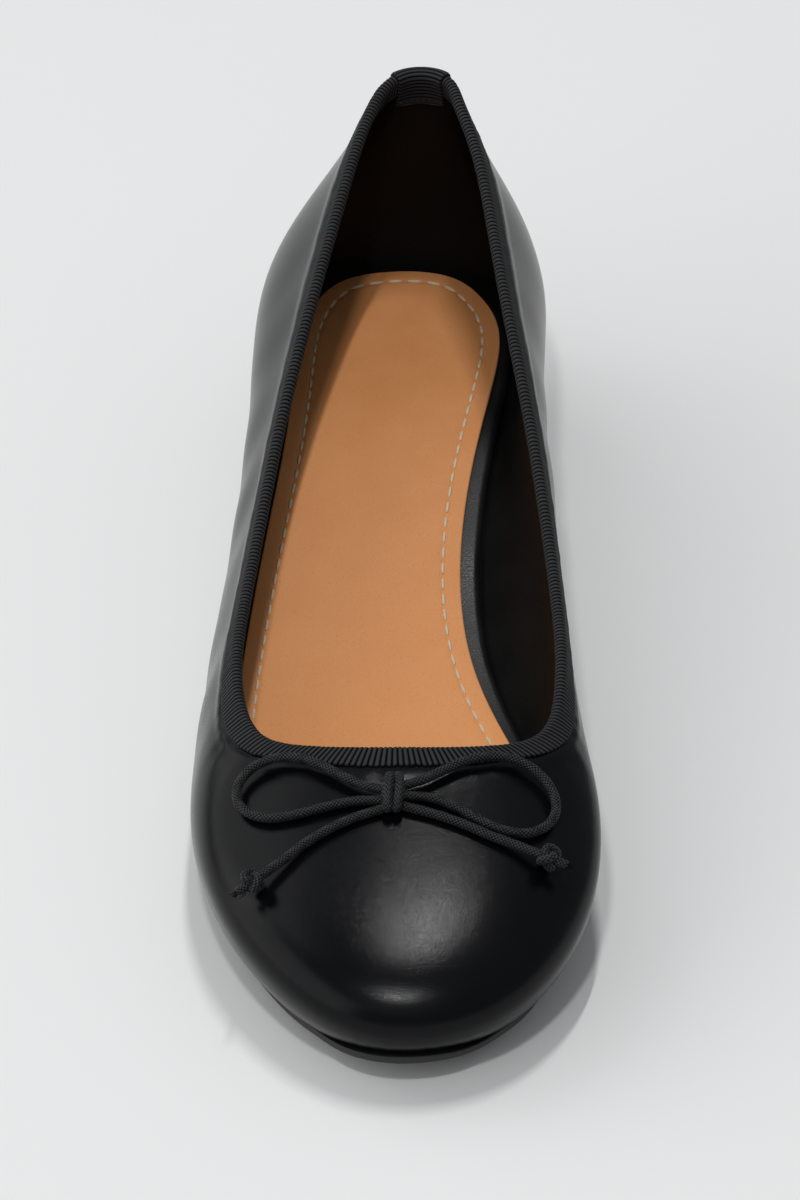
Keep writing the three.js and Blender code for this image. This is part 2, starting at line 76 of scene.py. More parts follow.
# Sections of the upper from heel to toe. Sideways sizes are shares of the local width, rise is a
# share of the local height, stand and drop are shares of the rise.
SECTION_COLUMNS = (
    "at outer inner top_at top_outer top_inner rise swell_outer swell_inner stand "
    "hang_outer hang_inner drop"
).split()
SECTION_ROWS = np.array([
    [0, -0.017, -0.017, 0, 0.062, 0.062, 1, 0.09, 0.09, 0.36, 0.055, 0.055, 0.36],
    [0.012, -0.285, 0.225, 0.011, -0.065, 0.185, 0.998, 0.11, 0.12, 0.36, 0.09, 0.09, 0.36],
    [0.05, -0.45, 0.385, 0.045, -0.147, 0.242, 0.985, 0.175, 0.185, 0.36, 0.14, 0.13, 0.36],
    [0.12, -0.54, 0.477, 0.115, -0.233, 0.33, 0.945, 0.24, 0.238, 0.36, 0.187, 0.174, 0.36],
    [0.24, -0.57, 0.42, 0.235, -0.35, 0.417, 0.88, 0.18, 0.28, 0.36, 0.15, 0.148, 0.36],
    [0.37, -0.545, 0.305, 0.365, -0.4, 0.444, 0.9, 0.07, 0.28, 0.36, 0.093, 0.106, 0.38],
    [0.5, -0.508, 0.29, 0.49, -0.396, 0.432, 0.98, 0.045, 0.197, 0.37, 0.076, 0.058, 0.38],
    [0.62, -0.502, 0.398, 0.602, -0.414, 0.444, 0.99, 0.055, 0.102, 0.38, 0.079, 0.046, 0.36],
    [0.72, -0.497, 0.457, 0.669, -0.412, 0.445, 0.95, 0.076, 0.074, 0.42, 0.106, 0.085, 0.32],
    [0.81, -0.444, 0.457, 0.711, -0.38, 0.423, 0.93, 0.105, 0.093, 0.46, 0.193, 0.172, 0.27],
    [0.89, -0.339, 0.417, 0.74, -0.32, 0.362, 0.945, 0.153, 0.158, 0.47, 0.278, 0.268, 0.24],
    [0.95, -0.225, 0.328, 0.753, -0.22, 0.255, 0.97, 0.168, 0.194, 0.48, 0.35, 0.35, 0.22],
    [0.987, -0.1, 0.2, 0.759, -0.11, 0.135, 0.99, 0.167, 0.19, 0.48, 0.41, 0.41, 0.21],
    [1, 0.042, 0.042, 0.761, 0.01, 0.01, 1, 0.17, 0.17, 0.47, 0.43, 0.43, 0.21],
])
SECTION = dict(zip(SECTION_COLUMNS, SECTION_ROWS.T))
TOE_STATION = len(SECTION_ROWS) - 1
STATIONS = 2 * TOE_STATION

# The bow's cord as laid on the leather: across and along the shoe from the bow's place, and the
# lift over the leather. Each route starts at the knot.
BOW_ROUTES = {
    "bow_loop_outer": [
        [-2.9, 0.9, 2], [-6.4, 1.9, 2.2], [-10.4, 4.2, 2.4], [-14.3, 6.9, 2.6], [-18.8, 9.5, 2.7],
        [-24, 10.6, 2.6], [-28.5, 9.7, 2.4], [-31.5, 6.6, 2.1], [-31.8, 2.8, 1.9], [-29.6, -0.9, 1.7],
        [-25.4, -3.3, 1.5], [-20, -3.5, 1.4], [-14, -2.4, 1.4], [-8.4, -1.4, 1.4], [-3, -1.3, 1.4],
    ],
    "bow_loop_inner": [
        [2.9, 2.1, 2], [6.4, 3.4, 2.2], [10.6, 6, 2.4], [15.3, 8.7, 2.6], [20.6, 10.3, 2.7],
        [25.6, 9.9, 2.6], [29.7, 7.5, 2.4], [32.4, 3.5, 2.2], [32.8, -0.9, 2], [31, -4.6, 1.8],
        [27.3, -7.2, 1.6], [22.4, -7.3, 1.5], [17.1, -5.2, 1.4], [12.2, -2.3, 1.4], [7.4, -0.5, 1.4],
        [2.8, -0.2, 1.4],
    ],
    "bow_tail_outer": [
        [-2.9, -3.8, 1.4], [-7.4, -5.4, 1.4], [-12.4, -7.8, 1.4], [-17.4, -11, 1.5], [-22, -15, 2],
        [-25.6, -17.8, 2.7],
    ],
    "bow_tail_inner": [
        [2.8, -3, 1.4], [8.4, -4.6, 1.4], [14.1, -6.6, 1.4], [19.8, -9.1, 1.5], [24.6, -10.9, 1.9],
        [28.8, -12.8, 2.7],
    ],
}

# The stage in metres. Each light has its direction from the shoe, its distance, its two sides and
# its power in watts.
FLOOR_HALF, FLOOR_DROP = 6.0, 0.0002
CAMERA_PLACE, CAMERA_AIM = Vector((0.0495, -1.5819, 1.1948)), Vector((0.0005, -0.1000, 0.0270))
CAMERA_PITCH = math.radians(38.0)
LIGHTS_AIM = Vector((0.0, -0.12, 0.02))
LIGHTS = [
    ("left_window", (-0.66, 0.42, 0.62), 2.6, (1.8, 2.4), 14.5),
    ("left_board", (-0.84, 0.52, 0.16), 2.2, (3.4, 1.1), 1.5),
    ("low_left_board", (-0.93, -0.30, 0.30), 2.2, (3.0, 2.0), 22.0),
    ("top_softbox", (0.05, 0.19, 0.98), 1.6, (0.03, 0.44), 8.0),
    ("front_softbox", (-0.05, -0.47, 0.88), 1.8, (0.11, 0.11), 6.5),
    ("front_board", (-0.10, -0.62, 0.78), 2.4, (1.6, 1.6), 2.5),
]

# The leathers: dark and light tone, grain cells per metre, roughness from and to, strength of the
# grain's relief and its depth in metres, dust, and specular level.
LEATHERS = {
    "black_leather": ((0.0018, 0.002, 0.0027, 1), (0.0032, 0.0034, 0.0042, 1), 2300.0,
                      0.19, 0.2, 0.3, 0.00004, 0.03, 0.14),
    "lining_leather": ((0.003, 0.0028, 0.0028, 1), (0.006, 0.0055, 0.005, 1), 2400.0,
                       0.5, 0.62, 0.35, 0.00005, 0.25, 0.15),
    "insole_wrap": ((0.005, 0.0052, 0.006, 1), (0.009, 0.0092, 0.010, 1), 1500.0,
                    0.34, 0.46, 0.4, 0.00006, 0.25, 0.5),
    "heel_leather": ((0.002, 0.0022, 0.0028, 1), (0.0036, 0.0038, 0.0045, 1), 1750.0,
                     0.3, 0.36, 0.35, 0.00005, 0.25, 0.18),
}

# The last: smooth loops round the shoe and the wall that stands on them


def ease(t):
    """Goes from 0 to 1 with level ends: 3 t squared less 2 t cubed."""
    t = np.clip(t, 0.0, 1.0)
    return t * t * (3.0 - 2.0 * t)


def mix(a, b, t):
    """Straight mix: a plus t times the way from a to b."""
    return a + (b - a) * t


def bump_at(x, centre, half_width):
    """A smooth hill of height 1: e to the minus square of the distance over the half width."""
    return np.exp(-(((x - centre) / half_width) ** 2))


def unit(vectors):
    """Each vector over its own length."""
    return vectors / np.maximum(np.linalg.norm(vectors, axis=-1, keepdims=True), 1e-12)


def way_along(points):
    """The way gone along a line of points, from nought at the first."""
    return np.concatenate([[0.0], np.cumsum(np.linalg.norm(np.diff(points, axis=0), axis=1))])


def turns(count):
    """The angles of one full turn in even steps."""
    return 2 * np.pi * np.arange(count) / count


def around(side, lift, turn):
    """Directions round each place of a path: side by the angle's cosine plus lift by its sine."""
    return side[:, None] * np.cos(turn)[:, None] + lift[:, None] * np.sin(turn)[:, None]


def y_at(at):
    return HEEL_BACK - at * FEATHER_LENGTH


def at_of(y):
    return (HEEL_BACK - y) / FEATHER_LENGTH


def local_width(at):
    return mix(HEEL_WIDTH, BALL_WIDTH, ease((at - SEAT_END) / (TREAD_START - SEAT_END)))


def local_height(at):
    return mix(COUNTER_HEIGHT, THROAT_HEIGHT, ease(at / TREAD_START))


def seat_z(at):
    """Height of the feather edge: level seat, eased shank, level tread, then a squared toe spring."""
    shank = ease((at - SEAT_END) / (TREAD_START - SEAT_END))
    spring = np.maximum(0.0, (at - TREAD_END) / (1.0 - TREAD_END))
    return mix(HEEL_HEIGHT, SOLE_THICKNESS, shank) + TOE_SPRING * spring * spring


def on_seat(points, height):
    """The points brought to a height over the feather edge's level."""
    return np.concatenate([points[..., :2], seat_z(at_of(points[..., 1:2])) + height], -1)


def closed_spline(values):
    """A periodic cubic through values at whole stations. Its bends m solve m before plus 4 m plus
    m after equals 6 times the second difference of the values."""
    y = np.asarray(values, float)
    n = len(y)
    eye = np.eye(n)
    system = 4.0 * eye + np.roll(eye, 1, 0) + np.roll(eye, -1, 0)
    bends = np.linalg.solve(system, 6.0 * (np.roll(y, -1) - 2.0 * y + np.roll(y, 1)))

    def at(u):
        i = np.floor(u).astype(int)
        t = u - i
        s = 1.0 - t
        a, b = i % n, (i + 1) % n
        curve = (s**3 - s) * bends[a] + (t**3 - t) * bends[b]
        return s * y[a] + t * y[b] + curve / 6.0

    return at


def loop_of(outer, inner):
    """A loop that runs down the outer side's column and back up the inner side's."""
    return closed_spline(np.concatenate([outer, inner[1:-1][::-1]]))


_width = local_width(SECTION["at"])
_height = local_height(SECTION["at"])
LOOPS = {
    "x": loop_of(SECTION["outer"] * _width, SECTION["inner"] * _width),
    "y": loop_of(y_at(SECTION["at"]), y_at(SECTION["at"])),
    "top_x": loop_of(SECTION["top_outer"] * _width, SECTION["top_inner"] * _width),
    "top_y": loop_of(y_at(SECTION["top_at"]), y_at(SECTION["top_at"])),
    "rise": loop_of(SECTION["rise"] * _height, SECTION["rise"] * _height),
    "swell": loop_of(SECTION["swell_outer"] * _width, SECTION["swell_inner"] * _width),
    "hang": loop_of(SECTION["hang_outer"] * _width, SECTION["hang_inner"] * _width),
    "stand": loop_of(SECTION["stand"], SECTION["stand"]),
    "drop": loop_of(SECTION["drop"], SECTION["drop"]),
}


def feather(u, offset=0.0):
    """Points of the feather edge moved out by an offset, and the outward directions in plan."""
    step = 0.01
    x, y = LOOPS["x"], LOOPS["y"]
    along = unit(np.stack([x(u + step) - x(u - step), y(u + step) - y(u - step)], -1))
    out = np.stack([along[..., 1], -along[..., 0], np.zeros_like(u)], -1)
    point = np.stack([x(u), y(u), seat_z(at_of(y(u)))], -1)
    return point + out * np.asarray(offset)[..., None], out


def bend_centre(u):
    """Centres of the bend between the lasting margin and the wall, and the outward directions."""
    point, out = feather(u)
    return on_seat(point - out * FEATHER_RADIUS, GAP + FEATHER_RADIUS), out


def tilted(out, angle):
    """A level direction turned up by an angle."""
    return out * np.cos(angle)[..., None] + UP * np.sin(angle)[..., None]


def start_lean(u):
    return np.arctan2(LOOPS["swell"](u), LOOPS["stand"](u) * LOOPS["rise"](u))


def wall(u, v):
    """The outside of the upper: a cubic curve from the bend, v = 0, up to the topline, v = 1."""
    u, v = np.broadcast_arrays(np.asarray(u, float), np.asarray(v, float))
    centre, out = bend_centre(u)
    rise = LOOPS["rise"](u)[..., None]
    p0 = centre + tilted(out, -start_lean(u)) * FEATHER_RADIUS
    p1 = p0 + out * LOOPS["swell"](u)[..., None] + UP * LOOPS["stand"](u)[..., None] * rise
    top_y = LOOPS["top_y"](u)
    p3 = np.stack([LOOPS["top_x"](u), top_y, seat_z(at_of(top_y)) + rise[..., 0]], -1)
    p2 = p3 + out * LOOPS["hang"](u)[..., None] - UP * LOOPS["drop"](u)[..., None] * rise
    v = v[..., None]
    w = 1.0 - v
    return p0 * w**3 + p1 * 3 * w * w * v + p2 * 3 * w * v * v + p3 * v**3


def wall_frame(u, v):
    """The wall's outward normals and its directions towards the topline, from small steps."""
    u, v = np.broadcast_arrays(np.asarray(u, float), np.asarray(v, float))
    climb = wall(u, np.minimum(1.0, v + 0.01)) - wall(u, np.maximum(0.0, v - 0.01))
    along = wall(u + 0.02, v) - wall(u - 0.02, v)
    return unit(np.cross(along, climb)), unit(climb)


def over_wall(u, v, lift, past=0.0):
    """Points at a lift over the wall's outside, and past them towards the topline."""
    normal, climb = wall_frame(u, v)
    shape = normal.shape[:-1] + (1,)
    lift = np.broadcast_to(np.asarray(lift, float)[..., None], shape)
    past = np.broadcast_to(np.asarray(past, float)[..., None], shape)
    return wall(u, v) + normal * lift + climb * past


def top_length(u):
    """How many millimetres of wall one unit of v is worth at the topline."""
    return np.linalg.norm(wall(u, 1.0) - wall(u, 0.98), axis=-1) / 0.02


def below_top(u, distance):
    """The value v that lies a distance below the topline."""
    return 1.0 - distance / top_length(u)


def even_stations(count, v):
    """Stations evenly spaced along the loop at height v, starting at the middle of the heel, the
    way along the loop in millimetres at each, and the loop's length."""
    u = np.linspace(0.0, STATIONS, 6001)
    way = way_along(wall(u, v))
    places = way[-1] * np.arange(count) / count
    return np.interp(places, way, u), places, way[-1]


def slow_wave(x, period, seed, parts=5, span=3.0):
    """A seeded, repeating wave between about -1 and 1: a sum of whole-number sines round the
    loop of a given period, with random phases and falling weights."""
    random = np.random.default_rng(seed)
    total = np.zeros_like(x)
    weight = 0.0
    for k in range(parts):
        turns = max(1, round(period / (span * (1.0 + 0.55 * k + 0.3 * random.random()))))
        share = 1.0 / (1.0 + 0.4 * k)
        total = total + share * np.sin(2 * np.pi * turns * x / period + 6.3 * random.random())
        weight += share * share
    return total / math.sqrt(weight) * 0.75


# Meshes


def grid_quads(rows, columns, wrap_rows, wrap_columns):
    """Corner numbers of every face of a grid, and each corner's unwrapped row and column."""
    i = np.arange(rows if wrap_rows else rows - 1)
    j = np.arange(columns if wrap_columns else columns - 1)
    i, j = (a.ravel() for a in np.meshgrid(i, j, indexing="ij"))
    row = np.stack([i, i, i + 1, i + 1], 1)
    column = np.stack([j, j + 1, j + 1, j], 1)
    return (row % rows) * columns + column % columns, row, column


def compact(points, faces):
    """Leaves out points that no face uses."""
    used = np.unique(faces)
    number = np.zeros(len(points), int)
    number[used] = np.arange(len(used))
    return points[used], number[faces]


def make_piece(name, points, faces, material, slot, replaces=(), uv=None):
    """Puts points, in millimetres, and four-cornered faces into a smooth mesh that rides on the
    shoe. A closed shape's volume, the sum of its corner products over six, says whether it is
    inside out. A face with a doubled corner becomes a triangle."""
    points, faces = compact(points, faces)
    tris = np.concatenate([faces[:, [0, 1, 2]], faces[:, [0, 2, 3]]])
    a, b, c = (points[tris[:, k]] for k in range(3))
    if np.sum(a * np.cross(b, c)) < 0:
        faces = faces[:, ::-1]
        uv = None if uv is None else uv[:, ::-1]
    mesh = bpy.data.meshes.new(name)
    keep = faces != np.roll(faces, 1, axis=1)
    corners = np.split(faces[keep], np.cumsum(keep.sum(axis=1))[:-1])
    mesh.from_pydata((points * MILLIMETRE).tolist(), [], [face.tolist() for face in corners])
    if uv is not None:
        layer = mesh.uv_layers.new(name="surface")
        layer.data.foreach_set("uv", uv[keep].reshape(-1).astype(np.float32))
    mesh.polygons.foreach_set("use_smooth", np.ones(len(mesh.polygons), bool))
    mesh.update()
    piece = bpy.data.objects.new(name, mesh)
    bpy.context.scene.collection.objects.link(piece)
    mesh.materials.append(material)
    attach(piece, "root")
    if replaces:
        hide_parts(*replaces)
    return piece


def ring_piece(name, points, material, slot, replaces=(), uv_scale=None):
    """A closed profile carried round a closed loop: points[profile, station, xyz]."""
    faces, row, column = grid_quads(*points.shape[:2], True, True)
    uv = None
    if uv_scale is not None:
        uv = np.stack([column * uv_scale[0], row * uv_scale[1]], -1)
    make_piece(name, points.reshape(-1, 3), faces, material, slot, replaces, uv)


def closed_along(points, middles=None):
    """Points and faces of a strip of closed outlines with a middle point at each end, and each
    corner's row and column. Outlines are joined row to row, and the end rows to their middles."""
    rows, columns = points.shape[:2]
    faces, row, column = grid_quads(rows, columns, False, True)
    count = rows * columns
    j = np.arange(columns)
    k = (j + 1) % columns
    tail = count - columns
    first = np.stack([np.full(columns, count), k, j, j], 1)
    last = np.stack([np.full(columns, count + 1), tail + j, tail + k, tail + k], 1)
    if middles is None:
        middles = [points[0].mean(0), points[-1].mean(0)]
    caps = np.zeros((2 * columns, 4), int)
    every = np.concatenate([points.reshape(-1, 3), np.asarray(middles)])
    faces = np.concatenate([faces, first, last])
    return every, faces, np.concatenate([row, caps]), np.concatenate([column, caps])


# Shader node groups and materials


def node(tree, kind, inputs=None, **settings):
    """Adds a node. An input is a number, a colour or another node's output to link."""
    made = tree.nodes.new(kind)
    for key, value in settings.items():
        setattr(made, key, value)
    for key, value in (inputs or {}).items():
        socket = made.inputs[key]
        if isinstance(value, bpy.types.NodeSocket):
            tree.links.new(value, socket)
        else:
            socket.default_value = value
    return made


def maths(tree, operation, a, b=0.5, clamp=False):
    return node(tree, "ShaderNodeMath", {0: a, 1: b}, operation=operation, use_clamp=clamp).outputs[0]


def summed(tree, a, share, b, clamp=False):
    """a times a share, plus b."""
    return maths(tree, "ADD", maths(tree, "MULTIPLY", a, share), b, clamp)


def hills(tree, lane):
    """The size of a lane's sine."""
    return maths(tree, "ABSOLUTE", maths(tree, "SINE", lane))


def noise(tree, vector, scale, detail, roughness=0.5):
    inputs = {"Vector": vector, "Scale": scale, "Detail": detail, "Roughness": roughness}
    return node(tree, "ShaderNodeTexNoise", inputs)


def toned(colour, factor):
    """A colour times a factor, with no channel past 1."""
    return tuple(min(1.0, factor * c) for c in colour[:3]) + (1.0,)


def mixed(tree, factor, a, b):
    """A colour between a and b."""
    return node(tree, "ShaderNodeMix", {0: factor, 6: a, 7: b}, data_type="RGBA").outputs[2]


def ramp(tree, factor, low, high, to_low=0.0, to_high=1.0):
    """A value stretched from one range to another."""
    inputs = {"Value": factor, "From Min": low, "From Max": high, "To Min": to_low, "To Max": to_high}
    return node(tree, "ShaderNodeMapRange", inputs, clamp=True).outputs[0]


def group(name, number, default, outputs):
    """A new node group that takes a vector and a number and gives out numbers: its tree, the two
    inner sockets and its end node."""
    tree = bpy.data.node_groups.new(name, "ShaderNodeTree")
    tree.interface.new_socket("Vector", in_out="INPUT", socket_type="NodeSocketVector")
    socket = tree.interface.new_socket(number, in_out="INPUT", socket_type="NodeSocketFloat")
    socket.default_value = default
    for label in outputs:
        tree.interface.new_socket(label, in_out="OUTPUT", socket_type="NodeSocketFloat")
    start, end = tree.nodes.new("NodeGroupInput"), tree.nodes.new("NodeGroupOutput")
    return tree, start.outputs["Vector"], start.outputs[number], end


def leather_grain_group():
    """Grain of smooth leather: shallow cells parted by creases, with fine pores between."""
    tree, vector, cells, end = group("leather_grain", "Cells per metre", 1500.0,
                                     ["Height", "Pores", "Patches"])
    warp = noise(tree, vector, 420.0, 2.0).outputs["Color"]
    moved = node(tree, "ShaderNodeVectorMath", {0: warp, 1: (0.0006, 0.0006, 0.0006)},
                 operation="MULTIPLY").outputs[0]
    place = node(tree, "ShaderNodeVectorMath", {0: vector, 1: moved}, operation="ADD").outputs[0]
    edges = node(tree, "ShaderNodeTexVoronoi", {"Vector": place, "Scale": cells},
                 feature="DISTANCE_TO_EDGE").outputs["Distance"]
    fine = maths(tree, "MULTIPLY", noise(tree, vector, 5200.0, 3.0).outputs["Fac"], 0.6)
    broad = noise(tree, vector, 90.0, 3.0).outputs["Fac"]
    tree.links.new(summed(tree, ramp(tree, edges, 0.0, 0.22), 0.62, fine), end.inputs["Height"])
    tree.links.new(ramp(tree, edges, 0.09, 0.0), end.inputs["Pores"])
    tree.links.new(ramp(tree, broad, 0.35, 0.65), end.inputs["Patches"])
    return tree


def thread_group():
    """Fine threads that run one way over a surface: bands of a share of the second coordinate,
    broken up by noise."""
    tree, vector, threads, end = group("threads", "Threads", 1.0, ["Height", "Fuzz"])
    across = node(tree, "ShaderNodeSeparateXYZ", {"Vector": vector}).outputs["Y"]
    turn = maths(tree, "MULTIPLY", across, threads)
    wave = hills(tree, maths(tree, "MULTIPLY", turn, math.pi))
    fuzz = noise(tree, vector, 2.2, 4.0, 0.65).outputs["Fac"]
    tree.links.new(summed(tree, wave, 0.6, maths(tree, "MULTIPLY", fuzz, 0.7)), end.inputs["Height"])
    tree.links.new(fuzz, end.inputs["Fuzz"])
    return tree


def dust_group():
    """A mask of faint dust and rub marks: soft noise patches with fine specks."""
    tree, vector, amount, end = group("dust", "Amount", 0.3, ["Mask"])
    patch = noise(tree, vector, 60.0, 4.0).outputs["Fac"]
    speck = noise(tree, vector, 1500.0, 2.0).outputs["Fac"]
    mask = maths(tree, "MULTIPLY", ramp(tree, patch, 0.45, 0.75), ramp(tree, speck, 0.4, 0.7))
    tree.links.new(maths(tree, "MULTIPLY", mask, amount), end.inputs["Mask"])
    return tree


def shared(tree, name, make, inputs):
    """A shared node group's node in a material's tree. The first one to need the group makes it."""
    made = bpy.data.node_groups.get(name) or make()
    return node(tree, "ShaderNodeGroup", inputs, node_tree=made)


def blank_material(name, roughness, specular_level):
    """A material with its shader, and constants on the shader's own sockets."""
    material = bpy.data.materials.new(name)
    material.use_nodes = True
    shader = material.node_tree.nodes["Principled BSDF"]
    shader.inputs["Roughness"].default_value = roughness
    shader.inputs["Specular IOR Level"].default_value = specular_level
    return material, material.node_tree, shader


def relief(tree, shader, height, strength, distance):
    """A Bump node of a height in metres into the shader's normal."""
    made = node(tree, "ShaderNodeBump", {"Height": height, "Strength": strength, "Distance": distance})
    tree.links.new(made.outputs[0], shader.inputs["Normal"])


def leather_material(name):
    """Grained leather in Object coordinates, from its row in the table of leathers."""
    dark, light, cells, rough_low, rough_high, strength, depth, dusty, specular = LEATHERS[name]
    material, tree, shader = blank_material(name, rough_low, specular)
    place = node(tree, "ShaderNodeTexCoord").outputs["Object"]
    grain = shared(tree, "leather_grain", leather_grain_group,
                   {"Vector": place, "Cells per metre": cells})
    dust = shared(tree, "dust", dust_group, {"Vector": place, "Amount": dusty}).outputs["Mask"]
    patches = grain.outputs["Patches"]
    colour = mixed(tree, summed(tree, patches, 0.55, dust, clamp=True), dark, light)
    pores = maths(tree, "MULTIPLY", grain.outputs["Pores"], 0.5)
    tree.links.new(mixed(tree, pores, colour, toned(dark, 0.55)), shader.inputs["Base Color"])
    rough = ramp(tree, patches, 0.0, 1.0, rough_low, rough_high)
    tree.links.new(summed(tree, dust, 0.2, rough), shader.inputs["Roughness"])
    relief(tree, shader, grain.outputs["Height"], strength, depth)
    return material


def tan_leather(colour, light):
    """Vegetable-tan cover: warm patches, fine close grain, a matt hand, and a colour that runs
    lighter from the heel to the toe, partly its own tone and partly painted shade in the heel seat.
    """
    material, tree, shader = blank_material("tan_leather", 0.6, 0.35)
    place = node(tree, "ShaderNodeTexCoord").outputs["Object"]
    grain = shared(tree, "leather_grain", leather_grain_group,
                   {"Vector": place, "Cells per metre": 2300.0})
    cloud = noise(tree, place, 28.0, 5.0, 0.6).outputs["Fac"]
    patches = maths(tree, "MULTIPLY", grain.outputs["Patches"], 0.3)
    tone = summed(tree, ramp(tree, cloud, 0.3, 0.7), 0.7, patches, clamp=True)
    along = node(tree, "ShaderNodeSeparateXYZ", {"Vector": place}).outputs["Y"]
    # Lighter towards the toe: partly the cover's own tone, partly painted shade in the heel seat.
    base = mixed(tree, ramp(tree, along, 0.0, -0.15, 0.0, 0.75), mixed(tree, tone, colour, light),
                 toned(light, 1.25))
    pores = maths(tree, "MULTIPLY", grain.outputs["Pores"], 0.35)
    tree.links.new(mixed(tree, pores, base, toned(colour, 0.72)), shader.inputs["Base Color"])
    tree.links.new(ramp(tree, cloud, 0.3, 0.7, 0.55, 0.68), shader.inputs["Roughness"])
    relief(tree, shader, grain.outputs["Height"], 0.35, 0.00005)
    return material


def fibre_material(name, colour, lift, threads, roughness, strength, depth, woven=None):
    """Yarn in the piece's own surface map: threads across its second axis, and fuzz that lifts the
    colour. Ridges steer the colour, the gloss and the relief; the colour falls to near black in the
    grooves between them, which is painted shade. Without a weave they are ribs, which the first
    axis counts; a weave crosses two slanting families at a pitch in millimetres."""
    material, tree, shader = blank_material(name, roughness, 0.25)
    shader.inputs["Sheen Weight"].default_value = 0.04
    shader.inputs["Sheen Roughness"].default_value = 0.5
    surface = node(tree, "ShaderNodeUVMap", uv_map="surface").outputs["UV"]
    yarn = shared(tree, "threads", thread_group, {"Vector": surface, "Threads": threads}).outputs
    parts = node(tree, "ShaderNodeSeparateXYZ", {"Vector": surface}).outputs
    lanes = [summed(tree, parts["X"], math.pi, math.pi / 2)]
    if woven:
        lanes = [maths(tree, "MULTIPLY", maths(tree, kind, parts["X"], parts["Y"]), math.pi / woven)
                 for kind in ("ADD", "SUBTRACT")]
    waves = [hills(tree, lane) for lane in lanes]
    ridge = ramp(tree, maths(tree, "MULTIPLY", waves[0], waves[-1]), 0.05, 0.7)
    fuzzy = mixed(tree, ramp(tree, yarn["Fuzz"], 0.35, 0.7), colour, toned(colour, lift))
    # Painted shade: the grooves between ridges get a near-black colour, the ridges the yarn's colour.
    tree.links.new(mixed(tree, ridge, (0.0008, 0.0008, 0.001, 1.0), fuzzy), shader.inputs["Base Color"])
    tree.links.new(ramp(tree, ridge, 0.0, 1.0, 0.02, 0.42), shader.inputs["Specular IOR Level"])
    tree.links.new(ramp(tree, yarn["Fuzz"], 0.3, 0.7, roughness - 0.1, roughness + 0.1),
                   shader.inputs["Roughness"])
    relief(tree, shader, summed(tree, yarn["Height"], 0.3, ridge), strength, depth)
    return material


def thread_material(name, colour):
    """Sewing thread: fine noise for its twist, in the colour and the relief."""
    material, tree, shader = blank_material(name, 0.6, 0.3)
    place = node(tree, "ShaderNodeTexCoord").outputs["Object"]
    twist = noise(tree, place, 3500.0, 2.0).outputs["Fac"]
    tree.links.new(mixed(tree, twist, toned(colour, 0.72), colour), shader.inputs["Base Color"])
    relief(tree, shader, twist, 0.4, 0.0001)
    return material


def rubber_material():
    """Matt rubber: fine moulded speckle, faint dust, and a tread of crossed waves underneath."""
    material, tree, shader = blank_material("black_rubber", 0.6, 0.4)
    place = node(tree, "ShaderNodeTexCoord").outputs["Object"]
    dust = shared(tree, "dust", dust_group, {"Vector": place, "Amount": 0.5}).outputs["Mask"]
    colour = mixed(tree, dust, (0.013, 0.013, 0.0135, 1), (0.04, 0.039, 0.037, 1))
    tree.links.new(colour, shader.inputs["Base Color"])
    tree.links.new(ramp(tree, dust, 0.0, 0.5, 0.52, 0.78), shader.inputs["Roughness"])
    speck = noise(tree, place, 2600.0, 3.0).outputs["Fac"]
    parts = node(tree, "ShaderNodeSeparateXYZ", {"Vector": place}).outputs
    turned = [maths(tree, kind, parts["Y"], parts["X"]) for kind in ("ADD", "SUBTRACT")]
    waves = [maths(tree, "SINE", maths(tree, "MULTIPLY", t, 2200.0)) for t in turned]
    facing = node(tree, "ShaderNodeTexCoord").outputs["Normal"]
    down = node(tree, "ShaderNodeSeparateXYZ", {"Vector": facing}).outputs["Z"]
    tread = maths(tree, "MULTIPLY", ramp(tree, maths(tree, "MAXIMUM", *waves), 0.35, 0.75),
                  ramp(tree, down, -0.55, -0.85))
    relief(tree, shader, summed(tree, speck, 0.12, tread), 0.6, 0.0003)
    return material


# Settings


class FlatLeather(bpy.types.PropertyGroup):
    """Sizes of the leather upper."""

    outer_thickness: bpy.props.FloatProperty(
        name="Leather", description="Thickness of the outer leather, in millimetres",
        default=0.85, min=0.4, max=1.2)
    ribbon_side_roll: bpy.props.FloatProperty(
        name="Roll by the ribbon", description="Height of the soft roll below the binding, in millimetres",
        default=0.34, min=0.0, max=1.0)
    crease_depth: bpy.props.FloatProperty(
        name="Creases", description="Depth of the soft creases, in millimetres",
        default=0.22, min=0.0, max=0.8)


class FlatRibbon(bpy.types.PropertyGroup):
    """Sizes of the grosgrain ribbon."""

    width: bpy.props.FloatProperty(
        name="Leg", description="How far the binding reaches down each side, in millimetres",
        default=4.5, min=3.0, max=6.0)
    thickness: bpy.props.FloatProperty(
        name="Thickness", description="Thickness of the ribbon, in millimetres",
        default=0.56, min=0.2, max=0.8)
    rib_pitch: bpy.props.FloatProperty(
        name="Rib pitch", description="Distance from rib to rib, in millimetres",
        default=1.0, min=0.6, max=2.0)
    rib_height: bpy.props.FloatProperty(
        name="Rib height", description="Depth of the grooves between ribs, in millimetres",
        default=0.27, min=0.0, max=0.4)
    colour: bpy.props.FloatVectorProperty(
        name="Colour", description="Colour of the yarn", subtype="COLOR", size=4,
        default=(0.006, 0.0063, 0.0072, 1.0), min=0.0, max=1.0)


